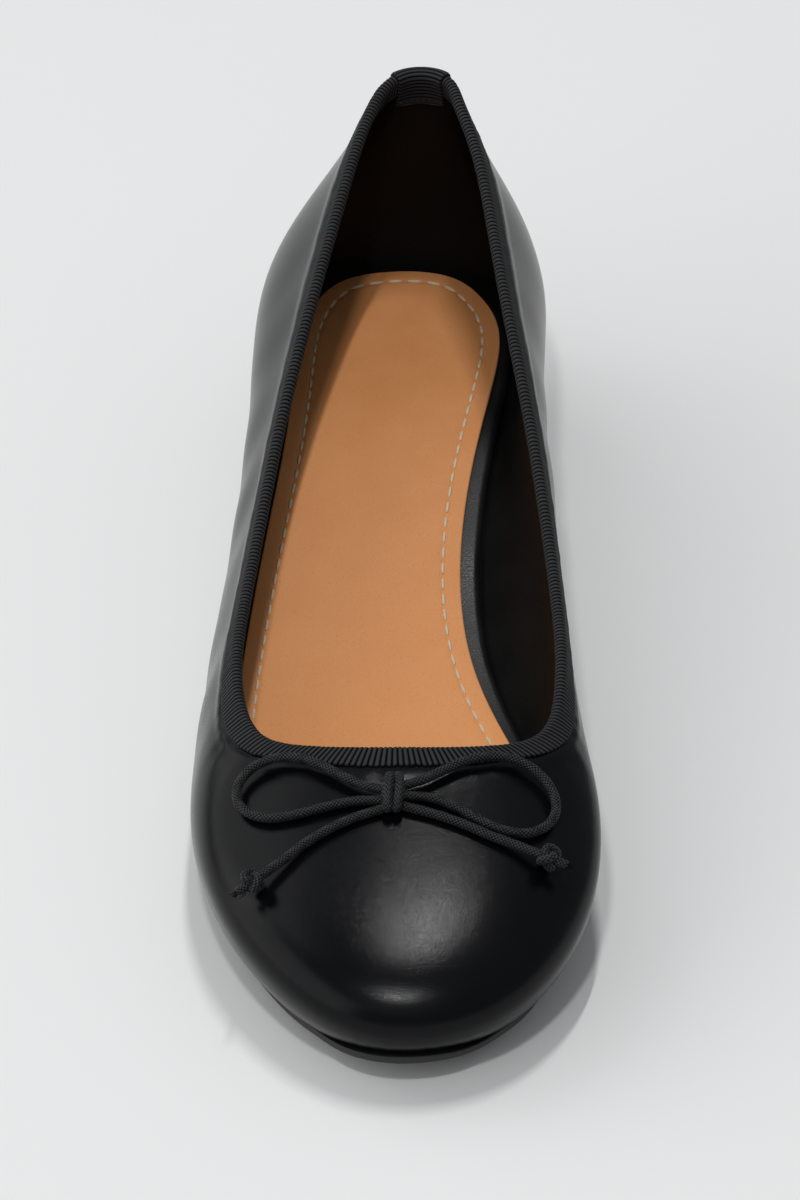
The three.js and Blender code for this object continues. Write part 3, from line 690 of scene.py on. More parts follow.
class FlatSock(bpy.types.PropertyGroup):
    """Sizes and colours of the insole cover."""

    colour: bpy.props.FloatVectorProperty(
        name="Colour", description="Darker tone of the tan leather", subtype="COLOR", size=4,
        default=(0.62, 0.24, 0.075, 1.0), min=0.0, max=1.0)
    light: bpy.props.FloatVectorProperty(
        name="Light tone", description="Lighter tone of the tan leather", subtype="COLOR", size=4,
        default=(0.72, 0.31, 0.115, 1.0), min=0.0, max=1.0)
    stitch_inset: bpy.props.FloatProperty(
        name="Stitch inset", description="Distance of the stitches from the edge, in millimetres",
        default=3.8, min=1.5, max=8.0)
    stitch_pitch: bpy.props.FloatProperty(
        name="Stitch pitch", description="Distance from stitch to stitch, in millimetres",
        default=4.2, min=1.5, max=6.0)


class FlatCord(bpy.types.PropertyGroup):
    """Sizes of the bow's cord."""

    diameter: bpy.props.FloatProperty(
        name="Diameter", description="Diameter of the cord, in millimetres",
        default=1.9, min=1.5, max=3.0)
    strands: bpy.props.IntProperty(
        name="Strands", description="Strands that wind each way round the cord", default=6, min=3, max=12)
    colour: bpy.props.FloatVectorProperty(
        name="Colour", description="Colour of the yarn", subtype="COLOR", size=4,
        default=(0.0085, 0.009, 0.01, 1.0), min=0.0, max=1.0)


class FlatStage(bpy.types.PropertyGroup):
    """Floor, lights and camera."""

    floor: bpy.props.FloatVectorProperty(
        name="Floor", description="Colour of the floor", subtype="COLOR", size=4,
        default=(0.80, 0.80, 0.80, 1.0), min=0.0, max=1.0)
    lens: bpy.props.FloatProperty(
        name="Lens", description="Focal length, in millimetres", default=405.0, min=50.0, max=1000.0)


# Bow


def bow_frame():
    """The bow's place on the vamp: a point of the leather and the directions across the shoe, up
    the vamp and out of it."""
    u = np.array(float(TOE_STATION))
    v = below_top(u, BOW_DROP)
    normal, climb = wall_frame(u, v)
    return u, v, np.cross(climb, normal), climb, normal


def on_vamp(route):
    """Drops route points on the leather: two-way steps of the station and height until the plan
    position over the leather at the lift meets the aim."""
    route = np.asarray(route, float)
    u0, v0 = bow_frame()[:2]
    aim = over_wall(u0, v0, 0.0) + np.stack([route[:, 0], route[:, 1], np.zeros(len(route))], 1)
    u, v, lift = np.full(len(route), float(u0)), np.full(len(route), float(v0)), route[:, 2]
    step = 0.01
    for _ in range(14):
        here = over_wall(u, v, lift)
        du = (over_wall(u + step, v, lift) - here) / step
        dv = (over_wall(u, v - step, lift) - here) / -step
        off = aim - here
        area = du[:, 0] * dv[:, 1] - du[:, 1] * dv[:, 0]
        u = u + np.clip((off[:, 0] * dv[:, 1] - off[:, 1] * dv[:, 0]) / area, -0.6, 0.6)
        v = v + np.clip((du[:, 0] * off[:, 1] - du[:, 1] * off[:, 0]) / area, -0.06, 0.06)
    return over_wall(u, v, lift)


def smooth_path(points, spacing):
    """A curve through the points, whose knots are spaced by the root of the distance, taken at
    even steps of its own length."""
    p = np.asarray(points, float)
    p = np.concatenate([[2 * p[0] - p[1]], p, [2 * p[-1] - p[-2]]])
    gaps = np.sqrt(np.linalg.norm(np.diff(p, axis=0), axis=1))
    t = np.concatenate([[0.0], np.cumsum(gaps)])
    parts, spans = 60, len(p) - 3
    k = np.append(np.repeat(np.arange(1, spans + 1), parts), spans)
    s = np.append(np.tile(np.arange(parts) / parts, spans), 1.0)
    x = (t[k] + s * (t[k + 1] - t[k]))[:, None]

    def between(a, b, i, j):
        return ((t[j][:, None] - x) * a + (x - t[i][:, None]) * b) / (t[j] - t[i])[:, None]

    a1 = between(p[k - 1], p[k], k - 1, k)
    a2 = between(p[k], p[k + 1], k, k + 1)
    a3 = between(p[k + 1], p[k + 2], k + 1, k + 2)
    b1 = between(a1, a2, k - 1, k + 1)
    b2 = between(a2, a3, k, k + 2)
    fine = between(b1, b2, k, k + 1)
    way = way_along(fine)
    count = max(8, int(round(way[-1] / spacing)))
    places = np.linspace(0.0, way[-1], count + 1)
    return np.stack([np.interp(places, way, fine[:, i]) for i in range(3)], 1), way[-1]


def tube_rings(path, radius, reference, sides, closed=False, strands=0, relief_share=0.0):
    """Rings round a path, across it. The radius swells where one of two families of strands, that
    wind opposite ways at about 45 degrees, passes over: the larger of two raised cosines."""
    if closed:
        tangent = unit(np.roll(path, -1, 0) - np.roll(path, 1, 0))
    else:
        tangent = unit(np.gradient(path, axis=0))
    side = unit(np.cross(tangent, reference))
    lift = np.cross(side, tangent)
    turn = turns(sides)
    way = way_along(path)
    radius = np.broadcast_to(radius, (len(path),))[:, None]
    swell = 1.0
    if strands:
        k = strands / radius.mean()
        if closed:
            total = way[-1] + np.linalg.norm(path[0] - path[-1])
            k = 2 * np.pi * max(1, round(k * total / (2 * np.pi))) / total
        one = np.cos(strands * turn + k * way[:, None])
        two = np.cos(strands * turn - k * way[:, None])
        swell = 1.0 + relief_share * (np.maximum(one, two) - 0.45)
    return path[:, None] + around(side, lift, turn) * (radius * swell)[..., None], way


def cord_mesh(path, diameter, strands):
    """Points, faces and surface map of a round woven cord along a path, with domed ends."""
    length = way_along(path)[-1]
    radius = np.full(len(path), diameter / 2)
    for distance in (np.linspace(0.0, length, len(path)), np.linspace(length, 0.0, len(path))):
        inside = np.clip(distance / CORD_DOME, 0.0, 1.0)
        radius = radius * np.sqrt(np.maximum(0.04, 1.0 - (1.0 - inside) ** 2))
    rings, way = tube_rings(path, radius, np.array([0.0, -0.35, 1.0]), 30, strands=strands,
                            relief_share=CORD_RELIEF)
    points, faces, row, column = closed_along(rings, [path[0], path[-1]])
    arc = math.pi * diameter / rings.shape[1]
    return points, faces, np.stack([way[row], column * arc], -1)


def mesh_piece(name, parts, material, slot, replaces=()):
    """Several arrays of points, faces and surface maps as one piece."""
    starts = np.cumsum([0] + [len(points) for points, _, _ in parts])
    points, faces, uvs = zip(*parts)
    faces = np.concatenate([f + start for f, start in zip(faces, starts)])
    return make_piece(name, np.concatenate(points), faces, material, slot, replaces, np.concatenate(uvs))


def closed_tube(path, radius, reference, sides, strands):
    """Points, faces and surface map of a tube round a closed path."""
    rings, way = tube_rings(path, radius, reference, sides, True, strands, KNOT_RELIEF)
    rows, columns = rings.shape[:2]
    faces, row, column = grid_quads(rows, columns, True, True)
    arc = 2 * math.pi * radius / columns
    step = way[-1] / (rows - 1)
    return rings.reshape(-1, 3), faces, np.stack([row * step, column * arc], -1)


class FLAT_OT_bow(bpy.types.Operator):
    """Makes the bow's woven cord: two loops, two tails, the wrapped knot and the tail knots"""

    bl_idname = "flat.bow"
    bl_label = "Cord bow"

    def execute(self, context):
        kit = context.scene.flat_cord
        material = fibre_material("black_cord", kit.colour, 3.2, 4.0, 0.6, 0.6, 0.0001, woven=0.8)
        knot = mesh_piece("bow_knot_wraps", self.wraps(kit), material, "black_cord", ["bow_knot"])
        past_knot = TAIL_KNOT_DIAMETER / 2
        for name, route in BOW_ROUTES.items():
            points = on_vamp(route)
            inward, onward = unit(points[0] - points[1]), unit(points[-1] - points[-2])
            if "tail" in name:
                centre = points[-1] + onward * (past_knot + GAP)
                start, end = [points[0] + inward * 1.2], [centre, centre + onward * (past_knot + 1.6)]
                far_end, extra = "knot", [self.tail_knot(name, centre, onward, kit, material)]
            else:
                start, end = [points[0] + inward * 1.3], [points[-1] + onward * 1.3]
                far_end, extra = "object", [knot]
            path, length = smooth_path(np.concatenate([start, points, end]), 0.17)
            piece = mesh_piece(name + "_cord", [cord_mesh(path, kit.diameter, kit.strands)], material,
                               "black_cord", [name])
        return {"FINISHED"}

    def wraps(self, kit):
        """The knot: two upright ovals side by side, and two level ones that tilt across them."""
        u, v, across, climb, normal = bow_frame()
        heart = over_wall(u, v, GAP + BOW_KNOT_WIDTH / 2)
        radius = kit.diameter / 2
        tubes = []
        turn = turns(150)
        for side in (-1.0, 1.0):
            sway = side + 0.3 * np.sin(turn + 0.6) - 0.12 * side * np.cos(2 * turn)
            ring = (heart + np.outer(sway, across) + np.outer(4.0 * np.cos(turn), climb)
                    + np.outer(1.3 * np.sin(turn), normal))
            tubes.append(closed_tube(ring, 1.02 * radius, across, 28, kit.strands))
        turn = turns(110)
        for tilt, lift in ((0.5, -0.2), (-0.6, -0.5)):
            ring = (heart + np.outer(1.55 * np.cos(turn), across) + normal * lift
                    + np.outer(tilt * np.cos(turn) + 1.3 * np.sin(turn), climb))
            tubes.append(closed_tube(ring, 0.95 * radius, normal, 24, kit.strands))
        return tubes

    def tail_knot(self, name, centre, onward, kit, material):
        """An overhand knot: a three-lobed closed path, sin t plus twice sin 2t against cos t less
        twice cos 2t, swinging by sin 3t, with a short frayed stub beyond."""
        side = unit(np.cross(onward, UP))
        top = np.cross(side, onward)
        t = turns(220)
        size, swing = 0.707, 1.102
        path = (centre - np.outer(swing * np.sin(3 * t), onward)
                + np.outer(size * (np.sin(t) + 2 * np.sin(2 * t)), side)
                + np.outer(size * (np.cos(t) - 2 * np.cos(2 * t)), top))
        parts = [closed_tube(path, 0.88 * kit.diameter / 2, UP + 0.3 * side, 22, kit.strands)]
        random = np.random.default_rng(7)
        for _ in range(12):
            lean = 0.55 * random.normal(size=3)
            root = centre + onward * (TAIL_KNOT_DIAMETER / 2 + 0.6) + 0.55 * random.normal(size=3)
            far = root + unit(onward * 1.6 + lean) * (1.4 + 0.9 * random.random())
            line = smooth_path([root, (root + far) / 2 + 0.15 * random.normal(size=3), far], 0.25)[0]
            rings = tube_rings(line, np.linspace(0.13, 0.05, len(line)), UP, 6)[0]
            points, faces = closed_along(rings, [line[0], line[-1]])[:2]
            parts.append((points, faces, np.zeros(faces.shape + (2,))))
        solid = name.replace("tail", "tail_knot")
        return mesh_piece(solid + "_tied", parts, material, "black_cord", [solid])


# Upper, lining and ribbon


def crease_lift(u, v, way, period, depth, roll, leg):
    """Lift of the leather over the last, in millimetres. The roll is a hill beside the ribbon with
    a trough at its edge; creases are short waves that fade away from the throat's corners and the
    ribbon; the quarters ripple softly; the back has a sunk seam."""
    from_top = (1.0 - v) * top_length(u)
    lift = roll * bump_at(from_top, leg + 1.7, 1.35) - 0.14 * bump_at(from_top, leg + 0.25, 0.45)
    gather = slow_wave(way, period, 11, parts=4, span=6.5)
    lift = lift + 0.05 * gather * bump_at(from_top, leg + 1.4, 1.8)
    throat_corner, quarter = 9.3, 5.6
    corners = bump_at(u, throat_corner, 1.1) + bump_at(u, STATIONS - throat_corner, 1.1)
    fold = slow_wave(way, period, 23, parts=3, span=8.0) * bump_at(from_top, leg + 4.0, 5.0)
    lift = lift + depth * 0.25 * corners * fold
    sides = bump_at(u, quarter, 1.9) + bump_at(u, STATIONS - quarter, 1.9)
    lift = lift + depth * sides * slow_wave(way, period, 37, parts=4, span=17.0) * np.sin(np.pi * v)
    slope = slow_wave(way + 26.0 * v, period, 41, parts=3, span=23.0)
    lift = lift + depth * 0.5 * slope * np.sin(np.pi * v) * (1.0 - bump_at(u, TOE_STATION, 2.2))
    lasting = slow_wave(way, period, 53, parts=3, span=5.0)
    ends = bump_at(u, TOE_STATION, 3.2) + bump_at(u, 0.0, 1.6) + bump_at(u, STATIONS, 1.6)
    lift = lift + 0.05 * lasting * ends * bump_at(v, 0.0, 0.07)
    back = np.minimum(way, period - way)
    lift = lift - 0.3 * bump_at(back, 0.0, 0.45) + 0.12 * bump_at(back, 1.5, 0.9)
    return lift * ease(v / 0.03) * ease(from_top / 1.2)


def shell_rings(u, way, period, outside, inside, wall_rows, lift=None):
    """Rings of a wall with its lasting margin, profile by station: the outside from the margin's
    end round the bend and up to the topline, then the inside back down, each at its own lift."""
    centre, out = bend_centre(u)
    lean = start_lean(u)
    flat = np.zeros(len(u))
    end = on_seat(centre + out * (FEATHER_RADIUS - LASTING_MARGIN), GAP)
    foot = on_seat(centre, GAP)
    rows = []
    for share in np.linspace(0.0, 1.0, 6)[:-1]:
        rows.append((on_seat(mix(end, foot, share), GAP), np.broadcast_to(-UP, centre.shape), flat))
    for share in np.linspace(0.0, 1.0, 8)[:-1]:
        normal = tilted(out, mix(-np.pi / 2, -lean, share))
        rows.append((centre + normal * FEATHER_RADIUS, normal, flat))
    for v in np.linspace(0.0, 1.0, wall_rows):
        rise = lift(u, np.full(len(u), v), way, period) if lift else flat
        rows.append((wall(u, v), wall_frame(u, v)[0], rise))
    points, normals, lifts = (np.array(part) for part in zip(*rows))
    front = points + normals * (lifts + outside)[..., None]
    back = (points + normals * (lifts + inside)[..., None])[::-1]
    skip = np.unique(np.append(np.arange(0, len(back), 2), len(back) - 1))
    return np.concatenate([front, back[skip]])


class FLAT_OT_upper(bpy.types.Operator):
    """Makes the lasted leather upper and its lining"""

    bl_idname = "flat.upper"
    bl_label = "Upper and lining"

    def execute(self, context):
        kit, ribbon = context.scene.flat_leather, context.scene.flat_ribbon
        u, way, period = even_stations(840, 0.55)

        def lift(u, v, way, period):
            return crease_lift(u, v, way, period, kit.crease_depth, kit.ribbon_side_roll, ribbon.width)

        rings = shell_rings(u, way, period, 0.0, -kit.outer_thickness, 62, lift)
        ring_piece("upper_leather", rings, leather_material("black_leather"), "black_leather",
                   ["upper"])
        u, way, period = even_stations(360, 0.55)
        rings = shell_rings(u, way, period, -kit.outer_thickness - 0.08, -UPPER_WALL, 30)
        ring_piece("upper_lining", rings, leather_material("lining_leather"), "black_leather")
        return {"FINISHED"}


def ribbon_profile(leg, thickness):
    """The cross profile of a folded ribbon: rows of distance below the topline, lift over the
    wall's outside and a share of relief. A half circle carries it over the edge."""
    far, half = RIBBON_SEAT + thickness, UPPER_WALL / 2
    radius, near = half + far, half + RIBBON_SEAT
    back, hidden = -UPPER_WALL - far, -UPPER_WALL - RIBBON_SEAT
    rows = [(leg, RIBBON_SEAT + 0.02, 0.0), (leg, far - 0.16, 0.6), (leg - 0.14, far, 1.0)]
    rows += [(d, far, 1.0) for d in np.linspace(leg - 0.55, FOLD_DROP + 0.25, 5)]
    rows += [(FOLD_DROP - radius * math.sin(a), -half + radius * math.cos(a), 1.0)
             for a in np.linspace(0.0, math.pi, 9)]
    rows += [(d, back, 1.0) for d in np.linspace(FOLD_DROP + 0.4, leg - 0.5, 4)]
    rows += [(leg - 0.14, back, 1.0), (leg, back + 0.16, 0.6), (leg, hidden - 0.02, 0.0)]
    rows += [(d, hidden, 0.0) for d in (leg * 0.6, FOLD_DROP + 0.1)]
    rows += [(FOLD_DROP - near * math.sin(a), -half - near * math.cos(a), 0.0)
             for a in np.linspace(0.0, math.pi, 5)]
    rows += [(d, RIBBON_SEAT, 0.0) for d in (FOLD_DROP + 0.1, leg * 0.6)]
    return np.array(rows)


def rib_groove(ribs):
    """Depth of the grooves at a count of ribs: 1 less the root of the cosine's size."""
    return 1.0 - np.sqrt(np.abs(np.cos(np.pi * ribs)))


def fold_side(lift):
    """Which side of the wall a fold's point lies on: 1 outside, -1 inside, between over the edge.
    Also how far it faces up: the root of 1 less the square of that."""
    half = UPPER_WALL / 2
    side = np.clip((lift + half) / (half + 0.3), -1.0, 1.0)
    return side, np.sqrt(np.maximum(0.0, 1.0 - side * side))


def fold_over(u, distance, lift):
    """Points at a distance below the topline and a lift over the wall; a distance below nought
    runs on past the topline, straight up from it."""
    v = np.clip(below_top(u, np.maximum(distance, 0.0)), 0.0, 1.0)
    return over_wall(u, v, lift, np.maximum(-distance, 0.0))


class FLAT_OT_ribbon(bpy.types.Operator):
    """Makes the ribbed binding along the topline and the tab at the heel"""

    bl_idname = "flat.ribbon"
    bl_label = "Ribbon binding and heel tab"

    def execute(self, context):
        kit = context.scene.flat_ribbon
        material = fibre_material("black_ribbon", kit.colour, 2.6, 3.2, 0.72, 0.35, 0.00005)
        ribs = round(even_stations(8, 1.0)[2] / kit.rib_pitch)
        samples = 6
        u, way, period = even_stations(ribs * samples, 1.0)
        groove = rib_groove(np.arange(len(u)) % samples / samples)
        own = np.repeat(np.random.default_rng(5).normal(size=ribs), samples)
        distance, lift, share = ribbon_profile(kit.width, kit.thickness).T[..., None]
        edge = distance > kit.width - 0.2
        uneven = 0.1 * slow_wave(way, period, 3, parts=3, span=21.0) + 0.06 * own - 0.16 * groove
        pucker = 0.1 * slow_wave(way, period, 11, parts=4, span=6.5)
        side, crown = fold_side(lift)
        sunk = share * (kit.rib_height * groove + 0.02 * own)
        gathered = (lift > -UPPER_WALL / 2) * share * np.maximum(pucker, 0.0) * ease(distance / 4.0)
        d = distance + edge * uneven + (distance < FOLD_DROP) * sunk * crown
        points = fold_over(np.broadcast_to(u, d.shape), d, lift - side * sunk + gathered)
        step = way_along(points[:, 0])[-1] / (len(points) - 1)
        ring_piece("topline_ribbon", points, material, "black_ribbon", ["topline_binding"],
                   (1.0 / samples, step))
        self.heel_tab(kit, material)
        return {"FINISHED"}

    def heel_tab(self, kit, material):
        """The tab: the same fold carried across the heel, ribbed along its own length."""
        half = UPPER_WALL / 2
        thick = 2 * (RIBBON_SEAT + kit.thickness)
        radius = half + thick
        fine = 0.17
        outer = np.arange(TAB_OUTER_DROP, FOLD_DROP, -fine)
        arc = np.arange(0.0, math.pi, fine / radius)
        inner = np.arange(FOLD_DROP, TAB_INNER_DROP, fine)
        distance = np.concatenate([outer, FOLD_DROP - radius * np.sin(arc), inner])[:, None]
        lift = np.concatenate([np.full(len(outer), thick), -half + radius * np.cos(arc),
                               np.full(len(inner), -UPPER_WALL - thick)])[:, None]
        groove = rib_groove(fine * np.arange(len(distance)) / kit.rib_pitch)[:, None]
        side, crown = fold_side(lift)
        crown = crown * (distance < FOLD_DROP)
        sunk = kit.rib_height * groove
        across = np.linspace(-1.0, 1.0, 41)
        worn = 0.5 * np.clip((np.abs(across) - 0.965) / 0.035, 0.0, 1.0) ** 2
        reach = (TAB_WIDTH / 2) * (1.0 - 0.012 * groove) * across

        def laid(distance, lift, reach):
            v = np.clip(below_top(np.zeros_like(distance), np.maximum(distance, 0.0)), 0.0, 1.0)
            scale = np.linalg.norm(wall(0.02, v) - wall(-0.02, v), axis=-1)
            return over_wall(reach * 0.04 / scale, v, lift, np.maximum(-distance, 0.0))

        top = laid(distance + crown * sunk, lift - side * (sunk + worn * kit.thickness), reach)
        bottom = laid(distance + crown * kit.thickness, lift - side * kit.thickness, reach)
        points, faces, row, column = closed_along(np.concatenate([top, bottom[:, ::-1]], axis=1))
        uv = np.stack([row * fine / kit.rib_pitch, column * TAB_WIDTH / len(across)], -1)
        make_piece("heel_tab_ribbon", points, faces, material, "black_ribbon", ["heel_tab"], uv)
        stitches = []
        inset, proud = 1.0, thick + 0.02
        reach = np.linspace(inset - TAB_WIDTH / 2, TAB_WIDTH / 2 - inset, 8)
        for drop, lift in ((TAB_OUTER_DROP, proud), (TAB_INNER_DROP, -UPPER_WALL - proud)):
            spot, ahead = (laid(np.full(8, drop - inset), np.full(8, lift), reach + step)
                           for step in (0.0, 0.1))
            stitches.append(capsules(spot, unit(ahead - spot), 0.55, 0.13))
        thread = thread_material("black_thread", (0.02, 0.02, 0.022, 1))
        mesh_piece("heel_tab_stitches", stitches, thread, "black_ribbon")


def capsules(centres, directions, half_length, radius, sides=6):
    """Short round-ended threads: rings of a half circle's height along each direction."""
    place = half_length * np.array([-1.0, -0.8, -0.35, 0.35, 0.8, 1.0])
    thick = radius * np.array([0.25, 0.75, 1.0, 1.0, 0.75, 0.25])
    side = unit(np.cross(directions, UP))
    out = around(side, np.cross(side, directions), turns(sides))
    rings = (centres[:, None, None] + directions[:, None, None] * place[:, None, None]
             + out[:, None] * thick[:, None, None])
    reach = directions * half_length * 1.06
    caps = np.stack([centres - reach, centres + reach], 1)
    each = np.concatenate([rings.reshape(len(centres), -1, 3), caps], 1)
    faces = closed_along(rings[0], caps[0])[1]
    every = (faces + (np.arange(len(centres)) * each.shape[1])[:, None, None]).reshape(-1, 4)
    return each.reshape(-1, 3), every, np.zeros(every.shape + (2,))


# Bottom and inside


def slab(count, edge_offset, rows):
    """Points and faces of a plate that follows the last's bottom. Rows are pairs of inset from
    the edge and height over the seat, from the top over the edge to the bottom. Above and below
    them the plate runs in to a middle line, on which the two sides' columns meet."""
    back_share, front_share, fill = 0.16, 0.2, 14
    half = count // 2
    places = np.linspace(0.0, TOE_STATION, 2401)
    way = way_along(feather(places)[0])
    outer = np.interp(way[-1] * np.arange(half + 1) / half, way, places)
    u = np.concatenate([outer, STATIONS - outer[1:-1][::-1]])
    offset = edge_offset(u)
    rings = [on_seat(feather(u, offset - inset)[0], height) for inset, height in rows]
    edge = feather(u, offset - rows[0][0])[0]
    partner = -np.arange(len(u)) % len(u)
    middle = (edge + edge[partner]) / 2
    order = np.argsort(middle[: half + 1, 1])
    back, front = middle[0, 1], middle[half, 1]
    share = (back - middle[:, 1]) / (back - front)
    y = mix(back, front, mix(back_share, 1.0 - front_share, share))
    x = np.interp(y, middle[: half + 1, 1][order], middle[: half + 1, 0][order])
    spine = np.stack([x, y, np.zeros_like(x)], -1)
    top, bottom = (
        [on_seat(mix(rings[k], spine, t), rows[k][1]) for t in np.linspace(0.0, 1.0, fill + 1)[1:]]
        for k in (0, -1))
    grid = np.array(top[::-1] + rings + bottom)
    numbers = np.arange(grid.shape[0] * grid.shape[1]).reshape(grid.shape[:2])
    for row in (0, -1):
        numbers[row, half + 1:] = numbers[row, partner[half + 1:]]
    ahead = np.roll(numbers, -1, 1)
    faces = np.stack([numbers[:-1], ahead[:-1], ahead[1:], numbers[1:]], -1)
    return grid.reshape(-1, 3), faces.reshape(-1, 4)


def rounded(top, bottom, top_radius, bottom_radius, steps):
    """Edge rows of a plate with round edges: a quarter circle, a straight side and another."""
    quarter = np.linspace(0.0, np.pi / 2, steps)
    return [(top_radius * (1 - math.sin(a)), top - top_radius * (1 - math.cos(a))) for a in quarter] \
        + [(bottom_radius * (1 - math.cos(a)), bottom + bottom_radius * (1 - math.sin(a)))
           for a in quarter]


def sole_offset(u):
    """The sole is trimmed close at the heel, lies in under the upper's bulge along the forepart
    and comes out again round the toe."""
    at = at_of(LOOPS["y"](u))
    side = mix(SOLE_HEEL_EDGE, SOLE_SIDE_EDGE, ease((at - SEAT_END) / (TREAD_START - SEAT_END)))
    return mix(side, SOLE_TOE_EDGE, ease((at - TOE_FROM) / (1.0 - TOE_FROM)))


def insole_offset(u):
    return np.full(u.shape, INSOLE_EDGE)


def sock_offset(u):
    """The cover lies nearer to the insole's edge at the heel, and further from it at the inner
    waist."""
    at = at_of(LOOPS["y"](u))
    inset = mix(SOCK_HEEL_INSET, SOCK_INSET, ease(at / SEAT_END))
    rising = ease((at - WAIST_FROM) / (WAIST_MIDDLE - WAIST_FROM))
    falling = ease((WAIST_TO - at) / (WAIST_TO - WAIST_MIDDLE))
    waist = np.where(u > TOE_STATION, SOCK_WAIST_INSET * rising * falling, 0.0)
    return INSOLE_EDGE - inset - waist


def heel_plan(inset, count=240):
    """Plan of the heel block at an inset: the seat's outline back of the breast, closed by a
    breast that is hollowed by half a sine, with its corners softened by averaging neighbours."""
    places = np.linspace(0.0, 5.0, 1200)
    breast = y_at(0.0) - HEEL_BLOCK_LENGTH
    sides = []
    for u in (places, STATIONS - places):
        p = feather(u, np.full(len(u), -inset))[0][:, :2]
        sides.append(p[p[:, 1] > breast])
    left, right = sides
    t = np.linspace(0.0, 1.0, 200)[1:-1, None]
    front = mix(left[-1], right[-1], t)
    front[:, 1] = breast + BREAST_HOLLOW * np.sin(np.pi * t[:, 0])
    loop = np.concatenate([left, front, right[::-1][:-1]])
    closed = np.concatenate([loop, loop[:1]])
    way = way_along(closed)
    s = way[-1] * np.arange(count) / count
    plan = np.stack([np.interp(s, way, closed[:, 0]), np.interp(s, way, closed[:, 1])], 1)
    for _ in range(2):
        plan = (np.roll(plan, 1, 0) + 2 * plan + np.roll(plan, -1, 0)) / 4
    return plan


def stacked(levels):
    """Points and faces of a block from plans at levels, each an inset and a height, with flat ends
    that run in to their middles."""
    rings = []
    for inset, z in levels:
        plan = heel_plan(inset)
        rings.append(np.column_stack([plan, np.full(len(plan), z)]))
    for row in (0, -1):
        middle = rings[row].mean(0)
        inner = [mix(rings[row], middle, t) for t in (0.2, 0.5, 0.8)]
        rings = inner[::-1] + rings if row == 0 else rings + inner
    return closed_along(np.array(rings))[:2]


class FLAT_OT_bottom(bpy.types.Operator):
    """Makes the rubber sole, the covered heel block and its top piece"""

    bl_idname = "flat.bottom"
    bl_label = "Sole and heel"

    def execute(self, context):
        rubber = rubber_material()
        top, low = -0.02, -SOLE_THICKNESS
        rows = [(2.6, top), (1.2, top), (0.55, top)] + rounded(top, low, 0.4, 0.85, 7)
        rows += [(1.6, low), (3.0, low)]
        make_piece("rubber_outsole", *slab(760, sole_offset, rows), rubber, "black_rubber", ["outsole"])
        block_top = HEEL_HEIGHT - SOLE_THICKNESS - GAP
        low = TOP_PIECE_THICKNESS + 0.12

        def inset_at(z):
            return HEEL_BLOCK_INSET + HEEL_TAPER * (1 - z / block_top)

        levels = [(inset_at(low) + 0.5, low), (inset_at(low) + 0.15, low + 0.1)]
        levels += [(inset_at(low), low + 0.4)]
        levels += [(inset_at(z), z) for z in np.linspace(low + 0.8, block_top - 0.3, 12)]
        levels += [(inset_at(block_top) + 0.1, block_top), (inset_at(block_top) + 0.4, block_top + 0.22)]
        make_piece("heel_block_cover", *stacked(levels), leather_material("heel_leather"),
                   "heel_leather", ["heel_block"])
        high = TOP_PIECE_THICKNESS
        levels = [(inset_at(0) + 0.6, 0.0), (inset_at(0) + 0.2, 0.12), (inset_at(0), 0.45)]
        levels += [(inset_at(z), z) for z in np.linspace(0.8, high - 0.5, 6)]
        levels += [(inset_at(high - 0.1) + 0.05, high - 0.15), (inset_at(high) + 0.25, high)]
        make_piece("heel_top_rubber", *stacked(levels), rubber, "black_rubber", ["heel_top_piece"])
        return {"FINISHED"}


class FLAT_OT_inside(bpy.types.Operator):
    """Makes the wrapped insole, its tan cover and the stitched line round it"""

    bl_idname = "flat.inside"
    bl_label = "Insole and cover"

    def execute(self, context):
        kit = context.scene.flat_sock
        low = 2 * GAP + UPPER_WALL
        top = low + INSOLE_THICKNESS
        rows = [(6.0, top + 0.02), (4.0, top + 0.05), (2.6, top + 0.05)]
        rows += rounded(top + 0.05, low, 1.55, 0.5, 9) + [(1.6, low), (3.0, low)]
        make_piece("wrapped_insole", *slab(520, insole_offset, rows), leather_material("insole_wrap"),
                   "insole_wrap", ["insole"])
        bottom, high = top + 0.12, top + GAP + SOCK_THICKNESS
        inset, sunk, groove_width = kit.stitch_inset, 0.26, 0.55
        rows = [(inset + d, high - sunk * math.exp(-((d / groove_width) ** 2))) for d in
                (6.0, 4.0, 2.6, 1.8, 1.2, 0.8, 0.5, 0.25, 0.0, -0.25, -0.5, -0.8, -1.3, -2.0)]
        rows += [(1.2, high - 0.01), (0.75, high - 0.05)]
        rows += rounded(high - 0.05, bottom, 0.4, 0.1, 6) + [(0.6, bottom), (2.0, bottom)]
        make_piece("tan_cover", *slab(620, sock_offset, rows), tan_leather(kit.colour, kit.light),
                   "tan_leather", ["sock"])
        fine = np.linspace(0.0, STATIONS, 9001)
        line = on_seat(feather(fine, sock_offset(fine) - inset)[0], high - sunk + 0.08)
        way = way_along(line)
        count = round(way[-1] / kit.stitch_pitch)
        middle = way[-1] * (np.arange(count) + 0.5) / count
        uneven = 0.05 * np.random.default_rng(2).normal(size=count)
        half = 0.36 * kit.stitch_pitch * (1 + uneven).mean()
        spot, before, after = (
            np.stack([np.interp(s % way[-1], way, line[:, i]) for i in range(3)], 1)
            for s in (middle, middle - 0.4, middle + 0.4))
        stitches = capsules(spot, unit(after - before), half, 0.36, sides=8)
        thread = thread_material("cream_thread", (0.80, 0.67, 0.47, 1))
        mesh_piece("cover_stitches", [stitches], thread, "tan_leather")
        return {"FINISHED"}


# Stage


